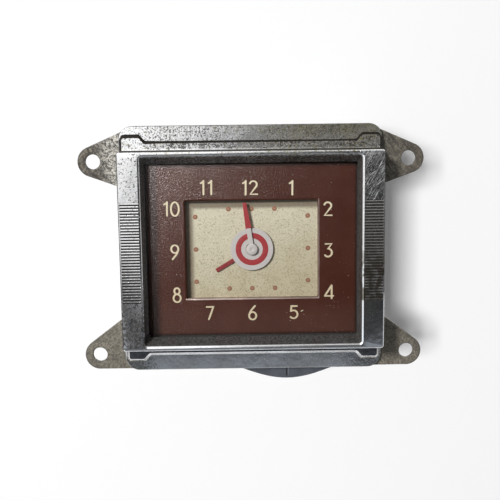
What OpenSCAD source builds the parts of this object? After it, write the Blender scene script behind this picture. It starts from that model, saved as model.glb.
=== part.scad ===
// Car dashboard clock. A stepped die-cast bezel holds a flat glass, a brown pressed mask and a cream dial.
// A steel plate with four ears carries it, with an electrically rewound balance movement in a case behind.
// Every module is drawn in the face frame: x to the right, y up, z towards the viewer, on the hands' axis,
// with z = 0 on the front of the mounting plate. face() turns that frame into the part's own frame.

/* [Bezel] */
// Width of the front rim
rim_w = 83.2; // [76:0.2:92]
// Height of the front rim
rim_h = 62.8; // [56:0.2:70]
// Corner radius of the front rim
rim_r = 1; // [0.4:0.1:2]
// Chamfer round the front of the rim
rim_edge = 0.4; // [0.3:0.1:1]
// Chamfer round the opening in the front of the rim
inner_edge = 0.5; // [0.2:0.1:0.8]
// Width of the ribbed side pillars
pillar_w = 7.1; // [6:0.05:8]
// Height of the thin bars above and below the glass
bar_h = 1.5; // [1:0.1:2.2]
// Sideways run of the inner bevel at the pillars
bevel_x = 0.8; // [0.6:0.1:2]
// Upward run of the inner bevel at the bars
bevel_y = 2.1; // [1.8:0.1:3.2]
// Depth of the inner bevel
bevel_d = 4.5; // [3.5:0.1:6]
// Ribs on each pillar
rib_n = 35; // [5:1:45]
// Distance from rib to rib
rib_pitch = 0.91; // [0.7:0.01:1.6]
// Depth of the grooves between ribs
rib_d = 0.3; // [0.2:0.05:0.6]
// Plain margin at the outer ends of the ribs
rib_margin = 0.3; // [0.2:0.1:1.5]
// Plain margin at the inner ends of the ribs
rib_inner = 0.7; // [0.5:0.1:1.5]
// Thickness of the rear flange
flange_t = 1.2; // [0.8:0.1:1.6]
// Flange outside the rim at the sides
flange_dx = 0.55; // [0.2:0.05:1.5]
// Flange outside the rim at the top and bottom
flange_dy = 8.45; // [7:0.05:10]
// Corner radius of the flange
flange_r = 4.5; // [2:0.1:7]
// Thickness of the shoulder on the flange
shoulder_t = 1.4; // [0.8:0.1:2]
// Shoulder outside the rim at the top and bottom
shoulder_dy = 3.3; // [2:0.1:5]
// Flat width of the corner lugs
lug_w = 5.8; // [4:0.1:8]
// Rise of the corner lugs above the shoulder
lug_rise = 2; // [1:0.1:3]
// Run of the slope from lug to shoulder
lug_slope = 2.4; // [1:0.1:4]
// Corner radius of the lugs
lug_r = 1.6; // [0.6:0.1:2.4]

/* [Glass and dial] */
// Thickness of the glass
glass_t = 1.8; // [1.2:0.1:2.4]
// Overlap of the glass pocket behind the bezel's lip
glass_seat = 1.6; // [1:0.1:2]
// Play round the glass, the mask and the dial in the pocket
pocket_play = 0.15; // [0.05:0.05:0.3]
// Thickness of the gasket behind the glass
gasket_t = 0.5; // [0.3:0.1:0.8]
// Width of the gasket
gasket_w = 1.4; // [0.8:0.1:2]
// Depth of the pressed mask in front of the dial
mask_d = 2.2; // [1.8:0.1:3]
// Sheet thickness of the mask
mask_t = 0.6; // [0.4:0.1:0.9]
// Width of the mask's window
window_w = 42.6; // [38:0.2:48]
// Height of the mask's window
window_h = 31.7; // [28:0.1:36]
// Thickness of the dial plate
dial_t = 0.6; // [0.4:0.1:0.9]

/* [Mounting plate] */
// Thickness of the plate with the ears
plate_t = 1.5; // [1:0.1:2]
// Ear holes, side to side
hole_dx = 101.6; // [96:0.1:112]
// Ear holes, top to bottom
hole_dy = 63.5; // [58:0.1:68]
// Ear hole diameter
hole_d = 4.76; // [3.6:0.02:5.6]
// Radius of the ear ends
ear_r = 4.85; // [4:0.05:5.6]
// Bottom ears inside the flange's lower edge
ear_in_y = 0.25; // [0.05:0.05:1]
// Slope of the inner edge of the top ears
ear_in_top = 20; // [10:1:30]
// Slope of the inner edge of the bottom ears
ear_in_bottom = 37; // [25:1:45]
// Plate edge inside the rim at the sides
plate_in_x = 0.5; // [0.2:0.1:1]
// Plate edge inside the flange at the top and bottom
plate_in_y = 0.2; // [0.1:0.1:1.5]
// Corner radius of the plate
plate_r = 4; // [2:0.5:6]

/* [Case] */
// Sheet thickness of the case band
band_t = 0.8; // [0.5:0.1:1.2]
// Gap from the band to the bezel screws' heads
band_gap = 1; // [0.4:0.1:2]
// Top of the band above the hands' axis
band_top = 38; // [36.5:0.1:38.8]
// Bottom of the band below the hands' axis
band_bottom = 38.9; // [36.5:0.1:39.2]
// Corner radius of the band
band_r = 3.5; // [2:0.1:5]
// Seam of the band to the right of the hands' axis
seam_x = 11.3; // [5:0.1:11.5]
// Drop of the pinched seam below the band
seam_drop = 5.2; // [3:0.1:7]
// Half the width of the pinched seam
seam_half = 20; // [12:0.5:20]
// Slit between the sheet's two ends in the seam
seam_slit = 0.25; // [0.1:0.05:0.5]
// Thickness of the back cover
cover_t = 0.8; // [0.5:0.1:1.2]
// Depth of the cover's spigot inside the band
spigot_d = 2; // [1:0.1:3]
// Clearance of the spigot inside the band
spigot_play = 0.15; // [0.05:0.05:0.3]

/* [Fasteners] */
// Diameter of the bezel screws
bezel_screw_d = 2.4; // [2:0.1:2.8]
// Head diameter of the bezel screws
bezel_head_d = 4.2; // [3.6:0.1:4.6]
// Head height of the bezel screws
bezel_head_t = 1.5; // [1:0.1:2]
// Length of the bezel screws in the casting
bezel_screw_in = 4.5; // [3:0.1:6]
// Bezel screws inside the rim's top and bottom
bezel_screw_y = 3.6; // [3:0.1:6]
// Diameter of the frame screws
frame_screw_d = 2; // [1.6:0.1:2.4]
// Head diameter of the frame and cover screws
frame_head_d = 3.8; // [3:0.1:4.2]
// Thread length of the frame and cover screws
frame_thread = 4; // [3:0.1:5]
// Diameter of the pillars, spacers and posts
pillar_d = 4.8; // [4:0.1:6]
// Play round a screw in its hole
screw_play = 0.05; // [0.03:0.01:0.1]

/* [Movement frame] */
// Room for the motion work behind the mounting plate
motion_gap = 4; // [3.8:0.1:5]
// Thickness of the movement plates
frame_t = 1.5; // [1:0.1:2]
// Room for the train between the movement plates
train_gap = 12; // [11.5:0.1:14]
// Room behind the back plate
rear_gap = 6.5; // [6:0.1:9]
// Movement plates inside the band at the sides
frame_in_x = 3.2; // [2.6:0.1:4]
// Movement plates inside the band at the top and bottom
frame_in_y = 5; // [4:0.1:6]
// Corner radius of the movement plates
frame_r = 5; // [3:0.5:7]
// Pillars inside the plates' edges
pillar_in = 4; // [3.5:0.1:5]

/* [Hands] */
// Hour hand, clockwise from twelve
hour_angle = 239.2; // [0:0.1:360]
// Minute hand, clockwise from twelve
minute_angle = 351.4; // [0:0.1:360]
// Radius of the hour hand's disc
disc_r = 6.9; // [5:0.1:8]
// Thickness of the hour hand's disc
disc_t = 0.3; // [0.2:0.05:0.4]
// Reach of the hour bar
hour_len = 13.6; // [11:0.1:14.5]
// Width of the hour bar
hour_w = 1.3; // [0.8:0.1:2]
// Thickness of the hour bar
hour_t = 0.25; // [0.2:0.05:0.3]
// Reach of the minute hand
minute_len = 15.3; // [12:0.1:15.5]
// Width of the minute hand over the disc
minute_root_w = 1.9; // [1.2:0.1:2.4]
// Width of the minute hand at its tip
minute_tip_w = 1.2; // [0.6:0.1:1.6]
// Thickness of the minute hand
minute_t = 0.3; // [0.2:0.05:0.4]
// Radius of the cap on the hands
cap_r = 1.85; // [1.6:0.05:2.4]
// Height of the cap on the hands
cap_t = 0.35; // [0.2:0.05:0.5]
// Gap from the dial to the hour bar, and from disc to minute hand
hand_gap = 0.35; // [0.2:0.05:0.4]

/* [Motion work] */
// Module of the cannon pinion and minute wheel
motion_m = 0.4; // [0.36:0.01:0.42]
// Cannon pinion teeth
cannon_n = 12; // [10:1:14]
// Minute wheel teeth
minute_n = 36; // [30:1:42]
// Minute pinion leaves
leaf_n = 10; // [8:1:12]
// Hour wheel teeth
hour_n = 40; // [32:1:48]
// Direction of the minute wheel from the hands' axis
motion_dir = -35; // [-45:1:-28]
// Outer radius of the hour wheel's pipe
pipe_r = 2; // [1.9:0.05:2.3]
// Outer radius of the cannon pinion's tube
cannon_r = 1.4; // [1.3:0.05:1.5]
// Radius of the centre arbor's front end
centre_r = 0.8; // [0.6:0.05:0.9]
// Radius of the setting arbor
setting_r = 1; // [0.8:0.05:1.3]
// Radius of the setting knob
knob_r = 5.5; // [4:0.1:6.5]
// Height of the setting knob
knob_h = 7; // [5:0.1:9]
// Ridges round the setting knob
knob_n = 20; // [12:1:30]

/* [Train] */
// Centre wheel teeth
centre_n = 64; // [56:1:72]
// Third pinion leaves
third_leaf = 8; // [7:1:9]
// Third wheel teeth
third_n = 60; // [54:1:64]
// Fourth pinion leaves
fourth_leaf = 8; // [7:1:9]
// Fourth wheel teeth
fourth_n = 60; // [54:1:66]
// Escape pinion leaves
escape_leaf = 6; // [6:1:8]
// Escape wheel teeth
escape_n = 15; // [12:1:18]
// Module of the centre wheel
centre_m = 0.42; // [0.4:0.01:0.44]
// Module of the third wheel
third_m = 0.36; // [0.34:0.01:0.38]
// Module of the fourth wheel
fourth_m = 0.3; // [0.28:0.01:0.32]
// Escape wheel radius
escape_r = 6.3; // [5:0.1:6.6]
// Thickness of the train wheels
wheel_t = 0.7; // [0.5:0.05:0.8]
// Radius of the train arbors
arbor_r = 0.8; // [0.6:0.05:1]
// Radius of the pivots in the plates
pivot_r = 0.4; // [0.3:0.05:0.5]
// Radial play of pivots, arbors and pipes in their holes
run_play = 0.06; // [0.03:0.01:0.09]
// Radial play of wheels and hands on their own arbors
seat_play = 0.02; // [0.01:0.01:0.04]
// Clear gap between parts that swing past each other
swing_gap = 0.15; // [0.1:0.05:0.25]

/* [Balance] */
// Balance wheel radius
balance_r = 9; // [7:0.1:9.5]
// Radial width of the balance rim
balance_rim = 1.4; // [0.8:0.1:2]
// Thickness of the balance rim
balance_t = 1.4; // [1:0.1:1.8]
// Distance from the pallet arbor to the balance staff
fork_len = 11.5; // [11:0.1:12.5]
// Half the swing of the pallet lever
lever_swing = 4; // [2:0.5:5]
// Turns of the hairspring
hair_turns = 6; // [4:1:7]
// Outer radius of the hairspring
hair_r = 6; // [5.4:0.1:6.4]
// Thickness of the hairspring
hair_t = 0.2; // [0.12:0.01:0.25]
// Reach of the regulator's tail
regulator_len = 13; // [11:0.1:13.5]
// Half the swing of the regulator
regulator_swing = 15; // [8:1:18]

/* [Winding magnet] */
// Radius of the armature
armature_r = 10.4; // [9:0.1:10.8]
// Width of the armature bar
armature_w = 5; // [4:0.1:6]
// Thickness of the armature bar
armature_t = 2.6; // [2:0.1:2.9]
// Turn of the armature at rest, clockwise from level
armature_rest = 20; // [15:1:24]
// Air gap from the armature to the poles
air_gap = 0.6; // [0.3:0.1:1]
// Thickness of the pole arms
pole_t = 1.5; // [1:0.1:2]
// Magnet core below the hands' axis
coil_y = 24; // [22.5:0.1:25]
// Magnet core radius
core_r = 2.2; // [1.6:0.1:2.6]
// Ratchet wheel radius
ratchet_r = 6.2; // [5:0.1:6.4]
// Ratchet wheel teeth
ratchet_n = 30; // [20:1:40]
// Turns of the drive spring
drive_turns = 8; // [5:1:9]
// Coil radius of the drive spring
drive_r = 0.9; // [0.7:0.05:1]
// Wire radius of the drive spring
drive_wire = 0.2; // [0.15:0.01:0.22]
// Radius of the terminal's push-on pin
stud_r = 2; // [1.5:0.05:2.4]
// Length of the terminal's push-on pin
stud_free = 8; // [5:0.1:12]
// Thread of the terminal stud over its pin, on the radius
stud_thread = 0.3; // [0.1:0.05:0.5]
// Terminal to the left of the hands' axis
stud_x = 16; // [14:0.1:18]
// Terminal below the hands' axis
stud_y = 15; // [12:0.1:17]

/* [Hidden] */
$fn = 64;

// A hair beyond a face, so that a cut goes right through it.
cut = 0.5;
// Levels count twelfths of the train's room and quarters of the motion work's.
level_n = 12;
quarter_n = 4;

// Bezel and glass, from the plate to the viewer.
lip_z = dial_t + mask_d + gasket_t + glass_t;
rim_front = lip_z + bevel_d;
shoulder_z = flange_t + shoulder_t;
open_w = rim_w - 2 * pillar_w;
open_h = rim_h - 2 * bar_h;
lip_w = open_w - 2 * bevel_x;
lip_h = open_h - 2 * bevel_y;
pocket_w = lip_w + 2 * glass_seat;
pocket_h = lip_h + 2 * glass_seat;
glass_w = pocket_w - 2 * pocket_play;
glass_h = pocket_h - 2 * pocket_play;
flange_w = rim_w + 2 * flange_dx;
flange_h = rim_h + 2 * flange_dy;
shoulder_h = rim_h + 2 * shoulder_dy;
pillar_wall = pillar_w + bevel_x - glass_seat;
bezel_x = rim_w / 2 - pillar_wall / 2;
bezel_y = rim_h / 2 - bezel_screw_y;
plate_w = rim_w - 2 * plate_in_x;
plate_h = flange_h - 2 * plate_in_y;

// Depths behind the mounting plate.
z_mount = -plate_t;
z_front0 = z_mount - motion_gap;
z_front1 = z_front0 - frame_t;
z_back0 = z_front1 - train_gap;
z_back1 = z_back0 - frame_t;
z_cover0 = z_back1 - rear_gap;
z_cover1 = z_cover0 - cover_t;
function train_z(d) = z_front1 - d * train_gap / level_n;
function motion_z(d) = z_mount - d * motion_gap / quarter_n;
hour_z = motion_z(1.7);
minute_z = motion_z(3.2);
cannon_z = motion_z(3.9);
escape_z = train_z(2.3);
lever_z = train_z(3.7);
third_z = train_z(4.65);
roller_z = train_z(4.9);
drive_z = train_z(5.1);
ratchet_z = train_z(6.1);
balance_z = train_z(6.7);
coil_z = train_z(7);
fourth_z = train_z(7.6);
armature_z = train_z(8.45);
hair_z = train_z(9.2);
centre_z = train_z(10.9);
cup_front = train_z(1.3);
cup_back = train_z(10.7);

// Case and movement frame.
band_w = 2 * (bezel_x - bezel_head_d / 2 - band_gap);
band_mid = (band_top - band_bottom) / 2;
band_h = band_top + band_bottom;
frame_w = band_w - 2 * band_t - 2 * frame_in_x;
frame_h = band_h - 2 * band_t - 2 * frame_in_y;
pillar_x = frame_w / 2 - pillar_in;
pillar_y = frame_h / 2 - pillar_in;
cover_head_t = 1.2;
knob_lift = 1;
knob_edge = 0.8;
knob_play = 0.5;
slot_play = 0.4;
slot_spare = 6;
seam_root = 3;
seam_steps = 16;
lug_steps = 8;

// The hands' axis lies this far above the middle of the ear holes.
dial_rise = flange_h / 2 - ear_in_y - ear_r - hole_dy / 2;

// Terminal.
thread_r = stud_r + stud_thread;
bush_t = 1.5;
bush_wall = 0.7;
bush_lap = 1.6;
stud_head_t = 2;
stud_head_r = thread_r + 1.3;
nut_t = 3;
nut_r = thread_r + 1.7;

// Hands, from the dial to the viewer.
dial_play = 0.3;
z_bar = dial_t + hand_gap;
z_disc = z_bar + hour_t;
z_disc1 = z_disc + disc_t;
z_minute = z_disc1 + hand_gap;
z_minute1 = z_minute + minute_t;

// Gear teeth: tip and root heights in modules, widths as shares of half the pitch.
wheel_add = 0.85;
wheel_ded = 1.35;
leaf_add = 0.7;
leaf_ded = 1.3;
tip_share = 0.55;
root_share = 1.1;
rim_m = 2.2;
arm_w = 1.8;
wheel_hub = 2.4;
slim_r = arbor_r * 0.75;
motion_t = 0.8;
end_shake = 0.2;

// Plan of the movement: each arbor hangs on the one before it.
function polar(r, a) = [r * cos(a), r * sin(a)];
motion_c = motion_m * (cannon_n + minute_n) / 2;
hour_m = 2 * motion_c / (leaf_n + hour_n);
minute_at = polar(motion_c, motion_dir);
setting_at = polar(2 * motion_c, motion_dir);
third_dir = 150;
fourth_dir = 70;
escape_dir = -8;
lever_dir = -15;
third_at = polar(centre_m * (centre_n + third_leaf) / 2, third_dir);
fourth_at = third_at + polar(third_m * (third_n + fourth_leaf) / 2, fourth_dir);
escape_at = fourth_at + polar(fourth_m * (fourth_n + escape_leaf) / 2, escape_dir);
pin_r = 0.3;
pin_span = 48;
pin_slack = 0.73;
lever_arm = escape_r + 1.6;
lever_travel = lever_arm * sin(pin_span) * lever_swing * PI / 180;
pin_orbit = escape_r + pin_r + lever_travel + swing_gap;
lever_c = pin_orbit + pin_slack;
lever_t = 0.6;
lever_hub = 1.6;
pallet_at = escape_at + polar(lever_c, lever_dir);
balance_at = pallet_at + polar(fork_len, lever_dir);
roller_r = 2.6;
impulse_r = 0.25;
impulse_orbit = 2;
curb_dir = -90;
curb_gap = 0.5;
curb_r = 0.2;
stud_dir = -50;
hair_stud_r = 0.6;
collet_r = 1.2;
staff_r = 0.8;
cup_r = 1.5;
cup_head = 0.8;
cup_mouth = 0.95;
cup_bottom = 0.1;
hair_w = 0.8;
regulator_t = 0.6;
regulator_pin_r = 0.8;

// Winding magnet.
arm_rest = -armature_rest;
pole_x = armature_r + air_gap;
flange_coil_r = coil_z - z_back0 - end_shake;
winding_r = flange_coil_r - 0.3;
bobbin_t = 0.8;
bobbin_wall = 0.8;
bobbin_half = pole_x - 0.3;
hub_r = 2.6;
shaft_r = 1.2;
pawl_at = 8;
pawl_pin_r = 0.5;
pawl_t = 0.8;
ratchet_t = 1;
ratchet_cut = 0.7;
drive_at = 7.5;
drive_pin_r = 0.5;
drive_post_r = 0.7;
drive_len = 13.6;
drive_end = 2.2;
drive_x = drive_at * cos(arm_rest);
drive_y = drive_at * sin(arm_rest);
drive_post_y = drive_y - drive_len;
foot_w = 5.5;
foot_h = 6;
foot_t = 1.5;
pole_top = 4;
contact_x = 1;
contact_y = 9;
contact_w = 4;
contact_h = 3.8;
leaf_t = 0.4;

// Face frame to part frame: the face looks along -Y and twelve is up.
module face() {
    translate([0, 0, dial_rise]) rotate([90, 0, 0]) children();
}

// A flat shape between two depths.
module slab(z0, z1) {
    translate([0, 0, z0]) linear_extrude(height = z1 - z0) children();
}

// A round bar along z at a point of the plan.
module bar(at, r, z0, z1) {
    translate([at[0], at[1], z0]) cylinder(r = r, h = z1 - z0);
}

// A rectangle with true round corners.
module round_rect(w, h, r) {
    square([w - 2 * r, h], center = true);
    square([w, h - 2 * r], center = true);
    for (i = [-1, 1], j = [-1, 1]) translate([i * (w / 2 - r), j * (h / 2 - r)]) circle(r = r);
}

// A block whose four sides lean: two crossed prisms give flat, mitred faces.
module lean_block(w0, h0, w1, h1, z0, z1) {
    big = max(w0, h0, w1, h1) + 2;
    intersection() {
        rotate([90, 0, 0]) linear_extrude(height = big, center = true)
            polygon([[-w0 / 2, z0], [w0 / 2, z0], [w1 / 2, z1], [-w1 / 2, z1]]);
        rotate([90, 0, 90]) linear_extrude(height = big, center = true)
            polygon([[-h0 / 2, z0], [h0 / 2, z0], [h1 / 2, z1], [-h1 / 2, z1]]);
    }
}

// The four corners of a rectangle.
module corners(x, y) {
    for (i = [-1, 1], j = [-1, 1]) translate([i * x, j * y]) children();
}

// Outline of a toothed wheel with a tooth at angle zero.
function gear_points(n, m, add, ded) = [
    for (i = [0 : n - 1])
        for (q = [[-ded, -root_share], [add, -tip_share], [add, tip_share], [-ded, root_share]])
            polar(n * m / 2 + q[0] * m, (i + q[1] / 4) * 360 / n)];

// A wheel blank with crossed-out arms.
module wheel_2d(n, m, hub, bore, arms) {
    rim = n * m / 2 - (wheel_ded + rim_m) * m;
    difference() {
        polygon(gear_points(n, m, wheel_add, wheel_ded));
        circle(r = bore);
        if (arms > 0) difference() {
            circle(r = rim);
            circle(r = hub);
            for (k = [0 : arms - 1]) rotate(k * 360 / arms) translate([0, -arm_w / 2])
                square([rim + cut, arm_w]);
        }
    }
}

// Leaves cut in an arbor.
module leaves(n, m, turn, z0, z1) {
    rotate(turn) slab(z0, z1) polygon(gear_points(n, m, leaf_add, leaf_ded));
}

// An arbor between the plates with its two pivots.
module plated_arbor(at, r) {
    bar(at, r, z_back0 + end_shake, z_front1 - end_shake);
    bar(at, pivot_r, z_back1 + end_shake, z_front0 - end_shake);
}

// Outline of the shoulder with its four corner lugs.
module shoulder_2d() {
    top = shoulder_h / 2 + lug_rise;
    square([rim_w, shoulder_h], center = true);
    for (i = [0, 1], j = [0, 1]) mirror([i, 0]) mirror([0, j]) {
        polygon(concat([[rim_w / 2 - lug_r, top], [rim_w / 2 - lug_r, 0], [rim_w / 2 - lug_w - lug_slope, 0]],
            [for (i = [0 : lug_steps]) let (u = i / lug_steps) [rim_w / 2 - lug_w - lug_slope * (1 - u),
                shoulder_h / 2 + lug_rise * u * u * (3 - 2 * u)]]));
        translate([rim_w / 2 - lug_r - cut, 0]) square([lug_r + cut, top - lug_r]);
        translate([rim_w / 2 - lug_r, top - lug_r]) circle(r = lug_r);
    }
}

// Wavy cutter for the grooves of one pillar, along y.
rib_sink = 0.05;
function rib_wave() = [
    for (i = [0 : rib_n * 6]) [(i / 6 - rib_n / 2) * rib_pitch,
        rim_front - rib_sink - rib_d * (0.5 - 0.5 * cos(i * 60))]];

module rib_cut() {
    half = rib_n * rib_pitch / 2;
    rotate([90, 0, 90]) linear_extrude(height = pillar_w - rib_margin - rib_inner)
        polygon(concat(rib_wave(), [[half, rim_front + cut], [-half, rim_front + cut]]));
}

module bezel() {
    lean = (open_w - lip_w) / bevel_d;
    rise = (open_h - lip_h) / bevel_d;
    color([0.78, 0.79, 0.8]) face() difference() {
        union() {
            slab(0, flange_t) round_rect(flange_w, flange_h, flange_r);
            slab(flange_t, shoulder_z) shoulder_2d();
            intersection() {
                slab(shoulder_z, rim_front) round_rect(rim_w, rim_h, rim_r);
                union() {
                    slab(shoulder_z, rim_front - rim_edge) square([rim_w, rim_h], center = true);
                    lean_block(rim_w, rim_h, rim_w - 2 * rim_edge, rim_h - 2 * rim_edge,
                        rim_front - rim_edge, rim_front);
                }
            }
        }
        lean_block(lip_w, lip_h, open_w + lean * cut, open_h + rise * cut, lip_z, rim_front + cut);
        lean_block(open_w - lean * inner_edge, open_h - rise * inner_edge, open_w + 2 * inner_edge + cut,
            open_h + 2 * inner_edge + cut, rim_front - inner_edge, rim_front + cut / 2);
        slab(-cut, lip_z) square([pocket_w, pocket_h], center = true);
        translate([rim_w / 2 - pillar_w + rib_inner, 0, 0]) rib_cut();
        translate([-rim_w / 2 + rib_margin, 0, 0]) rib_cut();
        corners(bezel_x, bezel_y) translate([0, 0, -cut])
            cylinder(d = bezel_screw_d + 2 * screw_play, h = bezel_screw_in + 2 * cut);
    }
}

module lens_glass() {
    color([0.85, 0.9, 0.9, 0.3]) face() slab(lip_z - glass_t, lip_z)
        square([glass_w, glass_h], center = true);
}

module lens_gasket() {
    color([0.12, 0.12, 0.12]) face() slab(dial_t + mask_d, lip_z - glass_t) difference() {
        square([glass_w, glass_h], center = true);
        square([glass_w - 2 * gasket_w, glass_h - 2 * gasket_w], center = true);
    }
}

// A pressed pan: front sheet, turned-back window edge and turned-back skirt.
module dial_mask() {
    color([0.36, 0.25, 0.21]) face() difference() {
        slab(dial_t, dial_t + mask_d) square([glass_w, glass_h], center = true);
        slab(dial_t - cut, dial_t + mask_d + cut) square([window_w, window_h], center = true);
        slab(dial_t - cut, dial_t + mask_d - mask_t) difference() {
            square([glass_w - 2 * mask_t, glass_h - 2 * mask_t], center = true);
            square([window_w + 2 * mask_t, window_h + 2 * mask_t], center = true);
        }
    }
}

module dial_plate() {
    color([0.87, 0.82, 0.68]) face() slab(0, dial_t) difference() {
        square([glass_w, glass_h], center = true);
        circle(r = pipe_r + run_play + dial_play);
    }
}

// Outline of the plate's top left quarter, round its corner and its ear to the left side. The ear's outer
// edge is the common tangent of its round end and the plate's round corner.
function ear_side(hole_y, inner) = let (
    corner = [plate_r - plate_w / 2, plate_h / 2 - plate_r],
    hole = [-hole_dx / 2, hole_y],
    v = corner - hole,
    outer = atan2(v[1], v[0]) - asin((ear_r - plate_r) / norm(v)),
    first = outer > 0 ? 0 : 4,
    side = (hole_dx - plate_w) / 2)
    concat([for (i = [first : 4]) corner + polar(plate_r, 90 + outer * i / 4)],
        [for (i = [0 : 24]) hole + polar(ear_r, 90 + outer + (180 - outer - inner) * i / 24)],
        [[-plate_w / 2, hole_y - ear_r * cos(inner) - (side + ear_r * sin(inner)) * tan(inner)]]);

// A run of points, flipped and taken backwards.
function flipped(run, x, y) = [for (i = [len(run) - 1 : -1 : 0]) [x * run[i][0], y * run[i][1]]];

module plate_2d() {
    left = concat(ear_side(hole_dy / 2 - dial_rise, ear_in_top),
        flipped(ear_side(hole_dy / 2 + dial_rise, ear_in_bottom), 1, -1));
    polygon(concat(left, flipped(left, -1, 1)));
}

module mounting_plate() {
    color([0.5, 0.48, 0.45]) face() difference() {
        slab(z_mount, 0) difference() {
            plate_2d();
            translate([0, -dial_rise]) corners(hole_dx / 2, hole_dy / 2) circle(d = hole_d);
            circle(r = pipe_r + run_play);
            translate(minute_at) circle(r = pivot_r + run_play);
            translate(setting_at) circle(r = pivot_r + run_play);
            corners(bezel_x, bezel_y) circle(d = bezel_screw_d + 4 * screw_play);
            corners(pillar_x, pillar_y) circle(d = frame_screw_d + 2 * screw_play);
        }
        corners(pillar_x, pillar_y) translate([0, 0, -head_sink() - screw_play])
            cylinder(d1 = frame_screw_d, d2 = frame_head_d + 4 * screw_play,
                h = head_sink() + 1.2 * screw_play);
    }
}

// Depth of a countersunk frame screw head with sides at 45 degrees.
function head_sink() = (frame_head_d - frame_screw_d) / 2;

module bezel_screws() {
    color([0.6, 0.6, 0.6]) face() corners(bezel_x, bezel_y) {
        bar([0, 0], bezel_screw_d / 2, z_mount, bezel_screw_in);
        bar([0, 0], bezel_head_d / 2, z_mount - bezel_head_t, z_mount);
    }
}

// Drop of the pinched seam below the band, at a place from -1 to 1 across it.
function seam_bell(u) = seam_drop * pow(0.5 + 0.5 * cos(180 * u), 0.6);

// Outline of the case, grown inwards by the wall.
module band_2d(wall) {
    translate([0, band_mid]) round_rect(band_w - 2 * wall, band_h - 2 * wall, max(0.5, band_r - wall));
    half = seam_half - wall;
    foot = wall - band_bottom;
    polygon(concat([[seam_x - half, seam_root - band_bottom], [seam_x - half, foot]],
        [for (i = [1 - seam_steps : seam_steps - 1])
            [seam_x + i / seam_steps * half, foot - seam_bell(i / seam_steps)]],
        [[seam_x + half, foot], [seam_x + half, seam_root - band_bottom]]));
}

// Slit between the sheet's ends, up from the lowest point of the seam.
module seam_slot(rise) {
    translate([seam_x - seam_slit / 2, -band_bottom - seam_drop - cut]) square([seam_slit, rise]);
}

// Sheet turned in at the front, which closes the pinched seam below the band.
module seam_web_2d() {
    intersection() {
        band_2d(0);
        translate([seam_x - seam_half - cut, -band_bottom - seam_drop - cut])
            square([2 * seam_half + 2 * cut, seam_drop + band_t + cut]);
    }
}

module case_band() {
    color([0.2, 0.21, 0.24]) face() {
        slab(z_cover0, z_mount) difference() {
            band_2d(0);
            band_2d(band_t);
            seam_slot(band_t + 2 * cut);
        }
        slab(z_mount - band_t, z_mount) difference() {
            seam_web_2d();
            seam_slot(seam_drop + cut);
        }
    }
}

// Arc slot about a point.
module arc_slot(at, r, half_w, dir, half_a) {
    translate(at) intersection() {
        difference() {
            circle(r = r + half_w);
            circle(r = r - half_w);
        }
        polygon([[0, 0], polar(2 * r, dir - half_a), polar(2 * r / cos(half_a), dir),
            polar(2 * r, dir + half_a)]);
    }
}

module back_cover() {
    inner = band_t + spigot_play;
    color([0.42, 0.42, 0.42]) face() {
        slab(z_cover1, z_cover0) difference() {
            band_2d(0);
            corners(pillar_x, pillar_y) circle(d = frame_screw_d + 4 * screw_play);
            translate(setting_at) circle(r = setting_r + knob_play);
            translate([-stud_x, -stud_y]) circle(r = thread_r + bush_wall + seat_play);
            arc_slot(balance_at, regulator_len, regulator_pin_r + slot_play, 90,
                regulator_swing + slot_spare);
        }
        slab(z_cover0, z_cover0 + spigot_d) translate([0, band_mid]) difference() {
            round_rect(band_w - 2 * inner, band_h - 2 * inner, max(0.5, band_r - inner));
            round_rect(band_w - 2 * inner - 2 * cover_t, band_h - 2 * inner - 2 * cover_t,
                max(0.4, band_r - inner - cover_t));
        }
    }
}

module cover_screws() {
    color([0.62, 0.62, 0.6]) face() corners(pillar_x, pillar_y) {
        bar([0, 0], frame_screw_d / 2, z_cover1, z_cover0 + frame_thread);
        bar([0, 0], frame_head_d / 2, z_cover1 - cover_head_t, z_cover1);
    }
}

// Hexagon posts that clamp the back plate and carry the cover.
module rear_posts() {
    color([0.75, 0.62, 0.3]) face() corners(pillar_x, pillar_y) difference() {
        union() {
            translate([0, 0, z_cover0]) cylinder(d = pillar_d, h = rear_gap, $fn = 6);
            bar([0, 0], frame_screw_d / 2, z_back1 - cut, z_back0 + frame_thread);
        }
        bar([0, 0], frame_screw_d / 2 + screw_play, z_cover0 - cut, z_cover0 + frame_thread + cut);
    }
}

// Outline shared by both movement plates, with the holes that line up through them.
module frame_2d() {
    difference() {
        translate([0, band_mid]) round_rect(frame_w, frame_h, frame_r);
        corners(pillar_x, pillar_y) circle(d = frame_screw_d + 2 * screw_play);
        for (at = [third_at, fourth_at, escape_at, pallet_at]) translate(at) circle(r = pivot_r + run_play);
        translate(setting_at) circle(r = setting_r + run_play);
        translate(balance_at) circle(r = cup_r + screw_play);
    }
}

module front_plate() {
    color([0.78, 0.64, 0.3]) face() {
        slab(z_front1, z_front0) difference() {
            frame_2d();
            circle(r = centre_r + run_play);
            translate(minute_at) circle(r = pivot_r + run_play);
        }
        bar([drive_x, drive_post_y], drive_post_r, train_z(6.4), z_front1 + cut);
    }
}

module back_plate() {
    color([0.78, 0.64, 0.3]) face() slab(z_back1, z_back0) difference() {
        frame_2d();
        circle(r = pivot_r + run_play);
        arc_slot(balance_at, hair_r, curb_gap + curb_r + slot_play, curb_dir, regulator_swing + slot_spare);
        translate(balance_at + polar(hair_r, stud_dir)) circle(r = hair_stud_r);
        for (i = [-1, 1]) translate([i * foot_x(), -coil_y]) circle(d = frame_screw_d + 2 * screw_play);
    }
}

// Middle of the magnet's feet.
function foot_x() = pole_x + pole_t + (foot_w - pole_t) / 2;

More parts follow.
